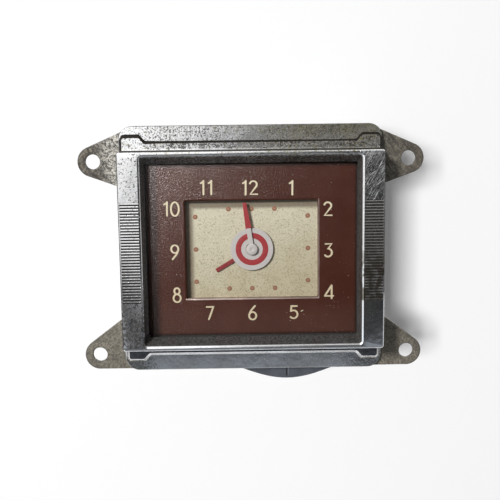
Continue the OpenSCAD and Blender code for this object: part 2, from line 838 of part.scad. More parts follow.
module frame_pillars() {
    color([0.75, 0.62, 0.3]) face() corners(pillar_x, pillar_y) difference() {
        bar([0, 0], pillar_d / 2, z_back0, z_front1);
        bar([0, 0], frame_screw_d / 2 + screw_play, z_back0 - cut, z_back0 + frame_thread + cut);
        bar([0, 0], frame_screw_d / 2 + screw_play, z_front1 - frame_thread - cut, z_front1 + cut);
    }
}

module plate_spacers() {
    color([0.75, 0.62, 0.3]) face() corners(pillar_x, pillar_y) difference() {
        bar([0, 0], pillar_d / 2, z_front0, z_mount);
        bar([0, 0], frame_screw_d / 2 + screw_play, z_front0 - cut, z_mount + cut);
    }
}

module spacer_screws() {
    color([0.62, 0.62, 0.6]) face() corners(pillar_x, pillar_y) {
        bar([0, 0], frame_screw_d / 2, z_front1 - frame_thread, -2 * screw_play);
        translate([0, 0, -head_sink()]) cylinder(d1 = frame_screw_d, d2 = frame_head_d, h = head_sink());
    }
}

module cannon_pinion() {
    color([0.6, 0.6, 0.62]) face() difference() {
        union() {
            bar([0, 0], cannon_r, cannon_z, z_minute1);
            leaves(cannon_n, motion_m, motion_dir, cannon_z, motion_z(2.4));
        }
        bar([0, 0], centre_r + run_play, cannon_z - cut, z_minute1 + cut);
    }
}

module minute_hand() {
    color([0.62, 0.13, 0.12]) face() rotate(-minute_angle) slab(z_minute, z_minute1) difference() {
        union() {
            circle(r = cap_r);
            polygon([[-minute_root_w / 2, 0], [minute_root_w / 2, 0], [minute_root_w / 2, disc_r],
                [minute_tip_w / 2, minute_len], [-minute_tip_w / 2, minute_len],
                [-minute_root_w / 2, disc_r]]);
        }
        circle(r = cannon_r + seat_play);
    }
}

// A turned cap with a rounded edge, on the end of the cannon tube.
module hand_cap() {
    edge = cap_t / 2;
    color([0.78, 0.78, 0.76]) face() translate([0, 0, z_minute1]) rotate_extrude() {
        square([cap_r - edge, cap_t]);
        square([cap_r, cap_t - edge]);
        translate([cap_r - edge, cap_t - edge]) circle(r = edge);
    }
}

module hour_wheel() {
    color([0.78, 0.64, 0.3]) face() difference() {
        union() {
            rotate(motion_dir + 180 / hour_n) slab(hour_z - motion_t / 2, hour_z + motion_t / 2)
                wheel_2d(hour_n, hour_m, pipe_r + 1, cannon_r, 4);
            bar([0, 0], pipe_r, hour_z - motion_t / 2, z_disc1);
        }
        bar([0, 0], cannon_r + run_play, hour_z - motion_t, z_disc1 + cut);
    }
}

module hour_disc() {
    color([0.85, 0.84, 0.82]) face() slab(z_disc, z_disc1) difference() {
        circle(r = disc_r);
        circle(r = pipe_r + seat_play);
    }
}

// The red bar is a strip fixed under the disc.
module hour_bar() {
    color([0.5, 0.08, 0.09]) face() rotate(-hour_angle) slab(z_bar, z_disc)
        translate([-hour_w / 2, pipe_r + hand_gap]) square([hour_w, hour_len - pipe_r - hand_gap]);
}

module minute_wheel() {
    color([0.78, 0.64, 0.3]) face() translate(minute_at) rotate(motion_dir + 180 + 180 / minute_n)
        slab(minute_z - motion_t / 2, minute_z + motion_t / 2)
            wheel_2d(minute_n, motion_m, wheel_hub, arbor_r + seat_play, 4);
}

module minute_arbor() {
    color([0.6, 0.6, 0.62]) face() translate(minute_at) {
        leaves(leaf_n, hour_m, motion_dir + 180, minute_z + motion_t / 2, motion_z(1.1));
        bar([0, 0], arbor_r, motion_z(3.7), motion_z(2));
        bar([0, 0], pivot_r, z_front1 + end_shake, -end_shake);
    }
}

module setting_arbor() {
    color([0.6, 0.6, 0.62]) face() translate(setting_at) {
        leaves(cannon_n, motion_m, motion_dir + 180, minute_z - 0.75 * motion_t, minute_z + 0.75 * motion_t);
        bar([0, 0], setting_r, z_cover1 - knob_lift - knob_h * 0.75, motion_z(1));
        bar([0, 0], pivot_r, motion_z(1) - cut, -end_shake);
    }
}

module setting_knob() {
    ridge = 2 * PI * knob_r / knob_n / 4;
    color([0.12, 0.12, 0.12]) face() translate([setting_at[0], setting_at[1], z_cover1 - knob_lift - knob_h])
    difference() {
        union() {
            cylinder(r = knob_r - ridge, h = knob_h);
            for (k = [0 : knob_n - 1]) rotate(k * 360 / knob_n) translate([knob_r - ridge, 0, knob_edge])
                cylinder(r = ridge, h = knob_h - 2 * knob_edge);
        }
        translate([0, 0, knob_h * 0.25 - seat_play]) cylinder(r = setting_r + seat_play, h = knob_h);
    }
}

module centre_arbor() {
    color([0.6, 0.6, 0.62]) face() {
        bar([0, 0], shaft_r, z_back0 + end_shake, z_front1 - end_shake);
        bar([0, 0], pivot_r, z_back1 + end_shake, z_back0 + cut);
        bar([0, 0], centre_r, z_front1 - cut, z_minute1 - end_shake / 2);
    }
}

module centre_wheel() {
    color([0.78, 0.64, 0.3]) face() rotate(third_dir) slab(centre_z - wheel_t / 2, centre_z + wheel_t / 2)
        wheel_2d(centre_n, centre_m, wheel_hub + 0.6, shaft_r + seat_play, 5);
}

// Saw-toothed wheel that the pawl pushes round.
module ratchet_wheel() {
    color([0.6, 0.6, 0.62]) face() slab(ratchet_z - ratchet_t / 2, ratchet_z + ratchet_t / 2) difference() {
        polygon([for (i = [0 : ratchet_n - 1]) for (q = [[ratchet_r - ratchet_cut, 0.05], [ratchet_r, 0.15]])
            polar(q[0], (i + q[1]) * 360 / ratchet_n)]);
        circle(r = shaft_r + seat_play);
    }
}

module third_arbor() {
    color([0.6, 0.6, 0.62]) face() {
        plated_arbor(third_at, arbor_r);
        translate(third_at) leaves(third_leaf, centre_m, third_dir + 180 + 180 / third_leaf,
            train_z(11.7), train_z(9.9));
    }
}

module third_wheel() {
    color([0.78, 0.64, 0.3]) face() translate(third_at) rotate(fourth_dir)
        slab(third_z - wheel_t / 2, third_z + wheel_t / 2)
            wheel_2d(third_n, third_m, wheel_hub, arbor_r + seat_play, 4);
}

module fourth_arbor() {
    color([0.6, 0.6, 0.62]) face() {
        plated_arbor(fourth_at, arbor_r);
        translate(fourth_at) leaves(fourth_leaf, third_m, fourth_dir + 180 + 180 / fourth_leaf,
            train_z(5.65), train_z(3.65));
    }
}

module fourth_wheel() {
    color([0.78, 0.64, 0.3]) face() translate(fourth_at) rotate(escape_dir)
        slab(fourth_z - wheel_t / 2, fourth_z + wheel_t / 2)
            wheel_2d(fourth_n, fourth_m, wheel_hub, arbor_r + seat_play, 4);
}

module escape_arbor() {
    color([0.6, 0.6, 0.62]) face() {
        plated_arbor(escape_at, slim_r);
        translate(escape_at) leaves(escape_leaf, fourth_m, escape_dir + 180 + 180 / escape_leaf,
            train_z(8.6), train_z(6.6));
    }
}

// Pointed, leaning teeth on a light rim with four arms.
module escape_wheel() {
    step = 360 / escape_n;
    rim = escape_r * 0.66;
    color([0.78, 0.64, 0.3]) face() translate(escape_at) slab(escape_z - lever_t / 2, escape_z + lever_t / 2)
    difference() {
        polygon([for (i = [0 : escape_n - 1])
            for (q = [[escape_r * 0.78, 0], [escape_r * 0.78, 0.35], [escape_r, 0.75], [escape_r, 0.86]])
                polar(q[0], (i + q[1]) * step)]);
        circle(r = slim_r + seat_play);
        difference() {
            circle(r = rim);
            circle(r = arm_w);
            for (k = [0 : 3]) rotate(k * 90) translate([0, -arm_w / 3]) square([rim + cut, arm_w * 2 / 3]);
        }
    }
}

module pallet_arbor() {
    color([0.6, 0.6, 0.62]) face() plated_arbor(pallet_at, slim_r);
}

// Flat strip between two points of the plan.
module strip(a, b, w) {
    v = b - a;
    translate(a) rotate(atan2(v[1], v[0])) translate([0, -w / 2]) square([norm(v), w]);
}

// Pin lever: two arms with upright pins at the escape wheel and a forked tail at the roller.
module pallet_lever() {
    tail = fork_len - impulse_orbit - impulse_r - swing_gap;
    notch = 2 * impulse_r + 0.3;
    pins = [for (s = [-1, 1]) polar(pin_orbit, lever_dir + s * pin_span) - polar(lever_c, lever_dir)];
    color([0.7, 0.7, 0.72]) face() translate(pallet_at) {
        slab(lever_z - lever_t / 2, lever_z + lever_t / 2) difference() {
            union() {
                circle(r = lever_hub);
                for (p = pins) strip([0, 0], p, lever_hub - lever_t);
                for (p = pins) translate(p) circle(r = pin_r + 0.4);
                strip([0, 0], polar(tail, lever_dir), lever_hub);
            }
            circle(r = slim_r + seat_play);
            strip(polar(tail - 2 * lever_t, lever_dir), polar(tail + 1, lever_dir), notch);
        }
        for (p = pins) bar(p, pin_r, lever_z, train_z(1.6));
    }
}

module balance_staff() {
    tip = 0.15;
    color([0.6, 0.6, 0.62]) face() translate(balance_at) {
        bar([0, 0], staff_r, train_z(10.5), train_z(1.5));
        translate([0, 0, train_z(1.5)]) cylinder(r1 = staff_r, r2 = tip, h = train_z(0.75) - train_z(1.5));
        translate([0, 0, train_z(11.25)])
            cylinder(r1 = tip, r2 = staff_r, h = train_z(10.5) - train_z(11.25));
        bar([0, 0], roller_r, roller_z - lever_t / 2, roller_z + lever_t / 2);
        bar(polar(impulse_orbit, lever_dir + 180), impulse_r, roller_z, train_z(3.3));
        bar([0, 0], collet_r, hair_z - 0.5, hair_z + 0.5);
    }
}

module balance_wheel() {
    inner = balance_r - balance_rim;
    color([0.8, 0.66, 0.32]) face() translate(balance_at)
        slab(balance_z - balance_t / 2, balance_z + balance_t / 2) difference() {
            circle(r = balance_r);
            difference() {
                circle(r = inner);
                circle(r = staff_r + 1.1);
                rotate(30) square([2 * inner + cut, arm_w], center = true);
            }
            circle(r = staff_r + seat_play);
        }
}

// Cup-ended screws, one in each plate, that the balance runs between.
module balance_screws() {
    rear = z_back1 - regulator_t;
    color([0.62, 0.62, 0.6]) face() translate(balance_at) {
        difference() {
            union() {
                bar([0, 0], cup_r, cup_front, z_front0 + 0.3);
                bar([0, 0], cup_r + cup_head, z_front0, z_front0 + cup_head);
            }
            translate([0, 0, cup_front])
                cylinder(r1 = cup_mouth, r2 = cup_bottom, h = train_z(0.5) - cup_front);
        }
        difference() {
            union() {
                bar([0, 0], cup_r, rear - cup_head / 2, cup_back);
                bar([0, 0], cup_r + cup_head, rear - cup_head - end_shake, rear - swing_gap);
            }
            translate([0, 0, train_z(11.5)])
                cylinder(r1 = cup_bottom, r2 = cup_mouth, h = cup_back - train_z(11.5));
        }
    }
}

// Flat spiral from the collet to the stud.
module hairspring() {
    inner = collet_r + hair_t / 2 + 0.2;
    last = stud_dir - asin((hair_stud_r + 0.05) / hair_r) - 0.4;
    steps = hair_turns * 24;
    mid = [for (i = [0 : steps])
        [inner + (hair_r - inner) * i / steps, last - 360 * hair_turns * (1 - i / steps)]];
    color([0.35, 0.4, 0.5]) face() translate(balance_at) slab(hair_z - hair_w / 2, hair_z + hair_w / 2)
        polygon(concat([for (p = mid) polar(p[0] + hair_t / 2, p[1])],
            [for (i = [steps : -1 : 0]) polar(mid[i][0] - hair_t / 2, mid[i][1])]));
}

module hairspring_stud() {
    color([0.6, 0.6, 0.62]) face()
        bar(balance_at + polar(hair_r, stud_dir), hair_stud_r, z_back1, hair_z + 0.6);
}

// Ring on the rear balance screw, with two curb pins at the hairspring and a tail through the cover.
module regulator_lever() {
    near = z_back1 - 0.05;
    far = near - regulator_t;
    tail = polar(regulator_len, 90);
    color([0.7, 0.7, 0.72]) face() translate(balance_at) {
        slab(far, near) difference() {
            union() {
                circle(r = cup_r + 1.7);
                strip([0, 0], polar(hair_r + curb_gap + 0.8, curb_dir), 1.8);
                strip([0, 0], tail, 2);
                translate(tail) circle(r = regulator_pin_r + 0.5);
            }
            circle(r = cup_r + run_play);
        }
        for (s = [-1, 1]) bar(polar(hair_r - 0.08 + s * curb_gap, curb_dir), curb_r, near - cut / 2,
            hair_z + hair_w / 2);
        bar(tail, regulator_pin_r, z_cover1 - 1.5, near);
    }
}

// U-shaped iron: a round core, two pole arms beside the armature and feet on the back plate.
module magnet_core() {
    base = -coil_y - foot_h / 2;
    color([0.45, 0.45, 0.47]) face() {
        translate([-pole_x - pole_t, -coil_y, coil_z]) rotate([0, 90, 0])
            cylinder(r = core_r, h = 2 * (pole_x + pole_t));
        for (side = [0, 1]) mirror([side, 0, 0]) {
            slab(train_z(10), train_z(6.2)) translate([pole_x, base]) square([pole_t, pole_top - base]);
            slab(z_back0, coil_z + core_r + 0.8) translate([pole_x, base]) square([pole_t, foot_h]);
            difference() {
                slab(z_back0, z_back0 + foot_t) translate([pole_x, base]) square([foot_w, foot_h]);
                bar([foot_x(), -coil_y], frame_screw_d / 2 + screw_play, z_back0 - cut,
                    z_back0 + foot_t + cut);
            }
        }
    }
}

module magnet_screws() {
    color([0.62, 0.62, 0.6]) face() for (i = [-1, 1]) translate([i * foot_x(), -coil_y]) {
        bar([0, 0], frame_screw_d / 2, z_back1, z_back0 + foot_t);
        bar([0, 0], frame_head_d / 2, z_back1 - 1, z_back1);
    }
}

module coil_bobbin() {
    color([0.35, 0.2, 0.12]) face() translate([-bobbin_half, -coil_y, coil_z]) rotate([0, 90, 0])
    difference() {
        union() {
            cylinder(r = core_r + bobbin_wall, h = 2 * bobbin_half);
            cylinder(r = flange_coil_r, h = bobbin_t);
            translate([0, 0, 2 * bobbin_half - bobbin_t]) cylinder(r = flange_coil_r, h = bobbin_t);
        }
        translate([0, 0, -cut]) cylinder(r = core_r + seat_play, h = 2 * bobbin_half + 2 * cut);
    }
}

module coil_winding() {
    length = 2 * bobbin_half - 2 * bobbin_t;
    color([0.6, 0.3, 0.14]) face() translate([-length / 2, -coil_y, coil_z]) rotate([0, 90, 0]) difference() {
        cylinder(r = winding_r, h = length);
        translate([0, 0, -cut]) cylinder(r = core_r + bobbin_wall + seat_play, h = length + 2 * cut);
    }
}

// Iron bar on the centre arbor, with a pin for the pawl and a pin for the drive spring.
module armature() {
    z0 = armature_z - armature_t / 2;
    z1 = armature_z + armature_t / 2;
    color([0.45, 0.45, 0.47]) face() rotate(arm_rest) {
        slab(z0, z1) difference() {
            union() {
                intersection() {
                    circle(r = armature_r);
                    square([2 * armature_r, armature_w], center = true);
                }
                circle(r = hub_r);
            }
            circle(r = shaft_r + run_play);
        }
        bar([-pawl_at, 0], pawl_pin_r, z1 - cut, ratchet_z + ratchet_t / 2);
        bar([drive_at, 0], drive_pin_r, z1 - cut, drive_z + drive_r);
    }
}

// Curved finger whose hollow side rides just clear of the ratchet's tips.
module pawl() {
    tip = polar(ratchet_r + swing_gap + 0.1, 140);
    color([0.7, 0.7, 0.72]) face() rotate(arm_rest) slab(ratchet_z - pawl_t / 2, ratchet_z + pawl_t / 2)
    difference() {
        union() {
            translate([-pawl_at, 0]) circle(r = pawl_pin_r + 0.6);
            strip([-pawl_at, 0], tip, 2 * pawl_t);
        }
        translate([-pawl_at, 0]) circle(r = pawl_pin_r + run_play);
        circle(r = ratchet_r + swing_gap);
    }
}

// One ring of the drive spring's wire at turn t and height y, where the wire climbs by an angle.
function drive_ring(t, y, climb) = let (out = [cos(360 * t), 0, sin(360 * t)],
        side = [sin(360 * t) * sin(climb), cos(climb), -cos(360 * t) * sin(climb)])
    [for (k = [0 : 5]) drive_r * out + [0, y, 0] + drive_wire * (cos(60 * k) * out + sin(60 * k) * side)];

// Tension spring: one unbroken wire whose straight ends reach the post and the armature's pin.
module drive_spring() {
    y0 = drive_post_y + drive_end;
    y1 = drive_y - drive_end;
    n = drive_turns * 10;
    rings = concat([drive_ring(0, drive_post_y + drive_post_r + swing_gap, 90), drive_ring(0, y0, 45)],
        [for (i = [1 : n - 1]) drive_ring(i / 10, y0 + (y1 - y0) * i / n, 8)],
        [drive_ring(0, y1, 45), drive_ring(0, drive_y - drive_pin_r - swing_gap, 90)]);
    last = len(rings) - 1;
    sides = [for (i = [0 : last - 1], k = [0 : 5], s = [0, 1]) let (a = 6 * i + k, b = 6 * i + (k + 1) % 6)
        s == 0 ? [a, b + 6, b] : [a, a + 6, b + 6]];
    color([0.6, 0.6, 0.62]) face() translate([drive_x - drive_r, 0, drive_z])
        polyhedron(points = [for (r = rings) each r],
            faces = concat(sides, [[for (k = [0 : 5]) k]], [[for (k = [5 : -1 : 0]) 6 * last + k]]));
}

// Insulating block under the front plate that carries the fixed contact.
module contact_block() {
    color([0.3, 0.16, 0.1]) face() rotate(arm_rest) slab(train_z(9.8), z_front1)
        translate([contact_x, -contact_y - contact_h]) square([contact_w, contact_h]);
}

// Thin strip that the armature's edge closes against at the end of its stroke.
module contact_leaf() {
    edge = -armature_w / 2 - swing_gap;
    root = contact_x + contact_w * 0.4;
    color([0.8, 0.66, 0.32]) face() rotate(arm_rest) slab(train_z(9.6), train_z(7.3)) {
        translate([root, -contact_y]) square([leaf_t, contact_y + edge - leaf_t]);
        translate([root, edge - 2 * leaf_t]) square([drive_at - root + 1.7, leaf_t]);
        translate([drive_at + 0.1, edge - leaf_t - 0.1]) square([1.4, leaf_t + 0.1]);
    }
}

// Threaded stud with a hexagon head inside the cover and a push-on pin behind its nut.
module terminal_stud() {
    nut_end = z_cover1 - bush_t - nut_t;
    head_z = z_cover0 + bush_t;
    color([0.75, 0.62, 0.3]) face() translate([-stud_x, -stud_y]) {
        bar([0, 0], stud_r, nut_end - stud_free, nut_end + cut);
        bar([0, 0], thread_r, nut_end, head_z + cut);
        translate([0, 0, head_z]) cylinder(r = stud_head_r, h = stud_head_t, $fn = 6);
    }
}

module terminal_nut() {
    color([0.75, 0.62, 0.3]) face() translate([-stud_x, -stud_y, z_cover1 - bush_t - nut_t]) difference() {
        cylinder(r = nut_r, h = nut_t, $fn = 6);
        translate([0, 0, -cut]) cylinder(r = thread_r + seat_play, h = nut_t + 2 * cut);
    }
}

// Two-flanged insulating bush in the cover.
module terminal_bush() {
    neck = thread_r + bush_wall;
    color([0.25, 0.14, 0.09]) face() translate([-stud_x, -stud_y]) difference() {
        union() {
            bar([0, 0], neck + bush_lap, z_cover1 - bush_t, z_cover1);
            bar([0, 0], neck, z_cover1 - cut, z_cover0 + cut);
            bar([0, 0], neck + bush_lap, z_cover0, z_cover0 + bush_t);
        }
        bar([0, 0], thread_r + seat_play, z_cover1 - bush_t - cut, z_cover0 + bush_t + cut);
    }
}

bezel();
lens_glass();
lens_gasket();
dial_mask();
dial_plate();
mounting_plate();
bezel_screws();
case_band();
back_cover();
cover_screws();
rear_posts();
front_plate();
back_plate();
frame_pillars();
plate_spacers();
spacer_screws();
cannon_pinion();
minute_hand();
hand_cap();
hour_wheel();
hour_disc();
hour_bar();
minute_wheel();
minute_arbor();
setting_arbor();
setting_knob();
centre_arbor();
centre_wheel();
ratchet_wheel();
third_arbor();
third_wheel();
fourth_arbor();
fourth_wheel();
escape_arbor();
escape_wheel();
pallet_arbor();
pallet_lever();
balance_staff();
balance_wheel();
balance_screws();
hairspring();
hairspring_stud();
regulator_lever();
magnet_core();
magnet_screws();
coil_bobbin();
coil_winding();
armature();
pawl();
drive_spring();
contact_block();
contact_leaf();
terminal_stud();
terminal_nut();
terminal_bush();
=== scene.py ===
"""Looks of a car dashboard clock: ribbed chrome bezel, brown mask, cream dial and red hands.

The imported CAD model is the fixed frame. Sizes here are millimetres in the face's own axes, x to the right,
y up and z out of the face, until a mesh is finished. It then stands in the frame's metres.
"""

import logging
import math
from collections.abc import Sequence
from dataclasses import dataclass, field
from enum import Enum
from typing import Any

import bmesh
import bpy
from mathutils import Matrix, Vector


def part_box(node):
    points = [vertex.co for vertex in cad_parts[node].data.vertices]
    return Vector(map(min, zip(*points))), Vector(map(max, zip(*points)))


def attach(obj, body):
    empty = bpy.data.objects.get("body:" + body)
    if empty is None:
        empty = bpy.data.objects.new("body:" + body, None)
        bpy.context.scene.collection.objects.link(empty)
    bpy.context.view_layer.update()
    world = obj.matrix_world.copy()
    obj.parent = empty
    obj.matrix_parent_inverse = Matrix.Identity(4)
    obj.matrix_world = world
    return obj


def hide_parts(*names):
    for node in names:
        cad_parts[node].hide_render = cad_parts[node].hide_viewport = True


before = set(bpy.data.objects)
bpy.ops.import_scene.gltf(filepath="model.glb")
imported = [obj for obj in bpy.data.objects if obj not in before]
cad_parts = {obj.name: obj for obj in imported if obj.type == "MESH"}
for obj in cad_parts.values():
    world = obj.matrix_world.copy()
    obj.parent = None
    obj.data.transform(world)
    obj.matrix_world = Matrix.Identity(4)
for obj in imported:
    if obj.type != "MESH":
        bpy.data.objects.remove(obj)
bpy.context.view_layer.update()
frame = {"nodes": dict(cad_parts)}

MM = 0.001
RISE = sum(corner.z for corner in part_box("lens_glass")) / 2 / MM
FACE = Matrix.Translation((0, 0, RISE * MM)) @ Matrix.Rotation(math.pi / 2, 4, "X") @ Matrix.Scale(MM, 4)

Pair = tuple[float, float]
Outline = list[Pair]
Triple = tuple[float, float, float]
Colour = Triple
log = logging.getLogger("clock")


class Body(Enum):
    """Moving groups that the dressed pieces ride on."""

    CASE = "clock_case"
    MINUTE = "minute_hand_body"
    HOUR = "hour_hand_body"
    SETTING = "setting_body"


def face_box(node: str) -> tuple[Vector, Vector]:
    """Box of a CAD node in the face's millimetres.

    Args:
        node: Name of the CAD node.

    Returns:
        Lowest and highest corner as x, y and z of the face.
    """
    low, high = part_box(node)
    return (Vector((low.x, low.z, -high.y)) / MM - Vector((0, RISE, 0)),
            Vector((high.x, high.z, -low.y)) / MM - Vector((0, RISE, 0)))


def round_rect(width: float, height: float, radius: float, steps: int = 6) -> Outline:
    """Rectangle with round corners, anticlockwise.

    Args:
        width: Size along x.
        height: Size along y.
        radius: Corner radius.
        steps: Edges in one corner.

    Returns:
        Points of the outline.
    """
    run = []
    for quarter, (i, j) in enumerate(((1, 1), (-1, 1), (-1, -1), (1, -1))):
        for step in range(steps + 1):
            angle = (quarter + step / steps) * math.pi / 2
            run.append((i * (width / 2 - radius) + radius * math.cos(angle),
                        j * (height / 2 - radius) + radius * math.sin(angle)))
    return run


def fillet(radius: float, shares: Sequence[float] = (0, 0.2, 0.4, 0.6, 0.8, 1)) -> Outline:
    """Inset and drop of points round an edge, from its side to its top.

    Args:
        radius: Radius of the edge.
        shares: Places of the points in the quarter turn.

    Returns:
        Pairs of inset and drop.
    """
    turn = [math.pi / 2 * share for share in shares]
    return [(radius * (1 - math.cos(a)), radius * (1 - math.sin(a))) for a in turn]


def middle_of(low: Vector, high: Vector) -> Pair:
    """Middle of a box as seen from the front."""
    return (low.x + high.x) / 2, (low.y + high.y) / 2


def circle(radius: float, steps: int = 48, centre: Pair = (0, 0)) -> Outline:
    """Circle as a polygon.

    Args:
        radius: Radius of the circle.
        steps: Number of edges.
        centre: Middle of the circle.

    Returns:
        Points of the outline, anticlockwise.
    """
    angles = [2 * math.pi * i / steps for i in range(steps)]
    return [(centre[0] + radius * math.cos(a), centre[1] + radius * math.sin(a)) for a in angles]


def arc(centre: Pair, radii: Pair, start: float, end: float, steps: int = 14) -> Outline:
    """Run of points along an oval.

    Args:
        centre: Middle of the oval.
        radii: Half sizes along x and y.
        start: First angle in degrees.
        end: Last angle in degrees.
        steps: Number of edges.

    Returns:
        Points from start to end.
    """
    angles = [math.radians(start + (end - start) * i / steps) for i in range(steps + 1)]
    return [(centre[0] + radii[0] * math.cos(a), centre[1] + radii[1] * math.sin(a)) for a in angles]


def inset(outline: Outline, depth: float) -> Outline:
    """Outline moved inwards, or outwards for a negative depth.

    Args:
        outline: Points, anticlockwise.
        depth: Distance of the move.

    Returns:
        As many points as before.
    """
    if not depth:
        return outline
    moved = []
    for before, here, after in zip(outline[-1:] + outline[:-1], outline, outline[1:] + outline[:1]):
        one = Vector((before[1] - here[1], here[0] - before[0])).normalized()
        two = Vector((here[1] - after[1], after[0] - here[0])).normalized()
        shift = (one + two) * (depth / max(0.3, 1 + one.dot(two)))
        moved.append((here[0] + shift.x, here[1] + shift.y))
    return moved


def turned(outline: Outline, degrees: float) -> Outline:
    """Outline turned clockwise about the middle of the dial.

    Args:
        outline: Points to turn.
        degrees: Angle, clockwise as a hand goes.

    Returns:
        Turned points.
    """
    c, s = math.cos(math.radians(degrees)), math.sin(math.radians(degrees))
    return [(x * c + y * s, y * c - x * s) for x, y in outline]


def shifted(outline: Outline, by: Pair) -> Outline:
    """Outline moved by a pair of distances."""
    return [(x + by[0], y + by[1]) for x, y in outline]


class Value:
    """A shader or geometry value that takes part in Python sums."""

    def __init__(self, nodes: "Nodes", socket: bpy.types.NodeSocket) -> None:
        """Keeps the node tree and the socket."""
        self.nodes = nodes
        self.socket = socket

    def sum(self, operation: str, *terms: "Value | float", clamp: bool = False) -> "Value":
        """Adds a Math node.

        Args:
            operation: The node's operation.
            terms: Its operands in order.
            clamp: Whether the result stays from 0 to 1.

        Returns:
            The node's result.
        """
        made = self.nodes.node("ShaderNodeMath", {"operation": operation, "use_clamp": clamp},
                               dict(enumerate(terms)))
        return Value(self.nodes, made.outputs[0])

    def __add__(self, other: "Value | float") -> "Value":
        """Sum of two values."""
        return self.sum("ADD", self, other)

    __radd__ = __add__

    def __sub__(self, other: "Value | float") -> "Value":
        """Difference of two values."""
        return self.sum("SUBTRACT", self, other)

    def __rsub__(self, other: float) -> "Value":
        """Difference from a number."""
        return self.sum("SUBTRACT", other, self)

    def __mul__(self, other: "Value | float") -> "Value":
        """Product of two values."""
        return self.sum("MULTIPLY", self, other)

    __rmul__ = __mul__

    def __truediv__(self, other: "Value | float") -> "Value":
        """Quotient of two values."""
        return self.sum("DIVIDE", self, other)

    def __rtruediv__(self, other: float) -> "Value":
        """Quotient of a number by this value."""
        return self.sum("DIVIDE", other, self)

    def __neg__(self) -> "Value":
        """The value with its sign changed."""
        return self.sum("SUBTRACT", 0.0, self)

    def __abs__(self) -> "Value":
        """Size without the sign."""
        return self.sum("ABSOLUTE", self)

    def most(self, other: "Value | float") -> "Value":
        """Larger of two values."""
        return self.sum("MAXIMUM", self, other)

    def least(self, other: "Value | float") -> "Value":
        """Smaller of two values."""
        return self.sum("MINIMUM", self, other)

    def held(self) -> "Value":
        """The value kept from 0 to 1."""
        return self.sum("ADD", self, 0.0, clamp=True)

    def ramp(self, low: float, high: float) -> "Value":
        """Smooth rise from 0 at one value to 1 at another.

        Args:
            low: Where the rise starts.
            high: Where it ends.

        Returns:
            A value from 0 to 1.
        """
        made = self.nodes.node("ShaderNodeMapRange", {"interpolation_type": "SMOOTHSTEP"},
                               {"Value": self, "From Min": low, "From Max": high})
        return Value(self.nodes, made.outputs[0])

    def fall(self, low: float, high: float) -> "Value":
        """Smooth fall from 1 at one value to 0 at another."""
        return 1 - self.ramp(low, high)


class Nodes:
    """A node tree that is filled by one method."""

    def __init__(self, tree: bpy.types.NodeTree) -> None:
        """Empties the tree."""
        self.tree = tree
        tree.nodes.clear()

    def node(self, kind: str, settings: dict[str, Any] | None = None,
             sockets: dict[str | int, Any] | None = None) -> bpy.types.Node:
        """Adds a node.

        Args:
            kind: The node's type.
            settings: Properties to set first.
            sockets: Values or links of its inputs, by name or place.

        Returns:
            The new node.
        """
        made = self.tree.nodes.new(kind)
        for key, value in (settings or {}).items():
            setattr(made, key, value)
        for key, value in (sockets or {}).items():
            source = value.socket if isinstance(value, Value) else value
            if isinstance(source, bpy.types.NodeSocket):
                self.tree.links.new(source, made.inputs[key])
            else:
                made.inputs[key].default_value = source
        return made

    def value(self, kind: str, settings: dict[str, Any] | None = None,
              sockets: dict[str | int, Any] | None = None, output: str | int = 0) -> Value:
        """Adds a node as node does, and gives one of its outputs."""
        return Value(self, self.node(kind, settings, sockets).outputs[output])

    def mixed(self, share: Value, first: bpy.types.Node, second: bpy.types.Node) -> bpy.types.Node:
        """Adds a mix of two shaders, with the share of the second."""
        return self.node("ShaderNodeMixShader", None, {0: share, 1: first.outputs[0], 2: second.outputs[0]})


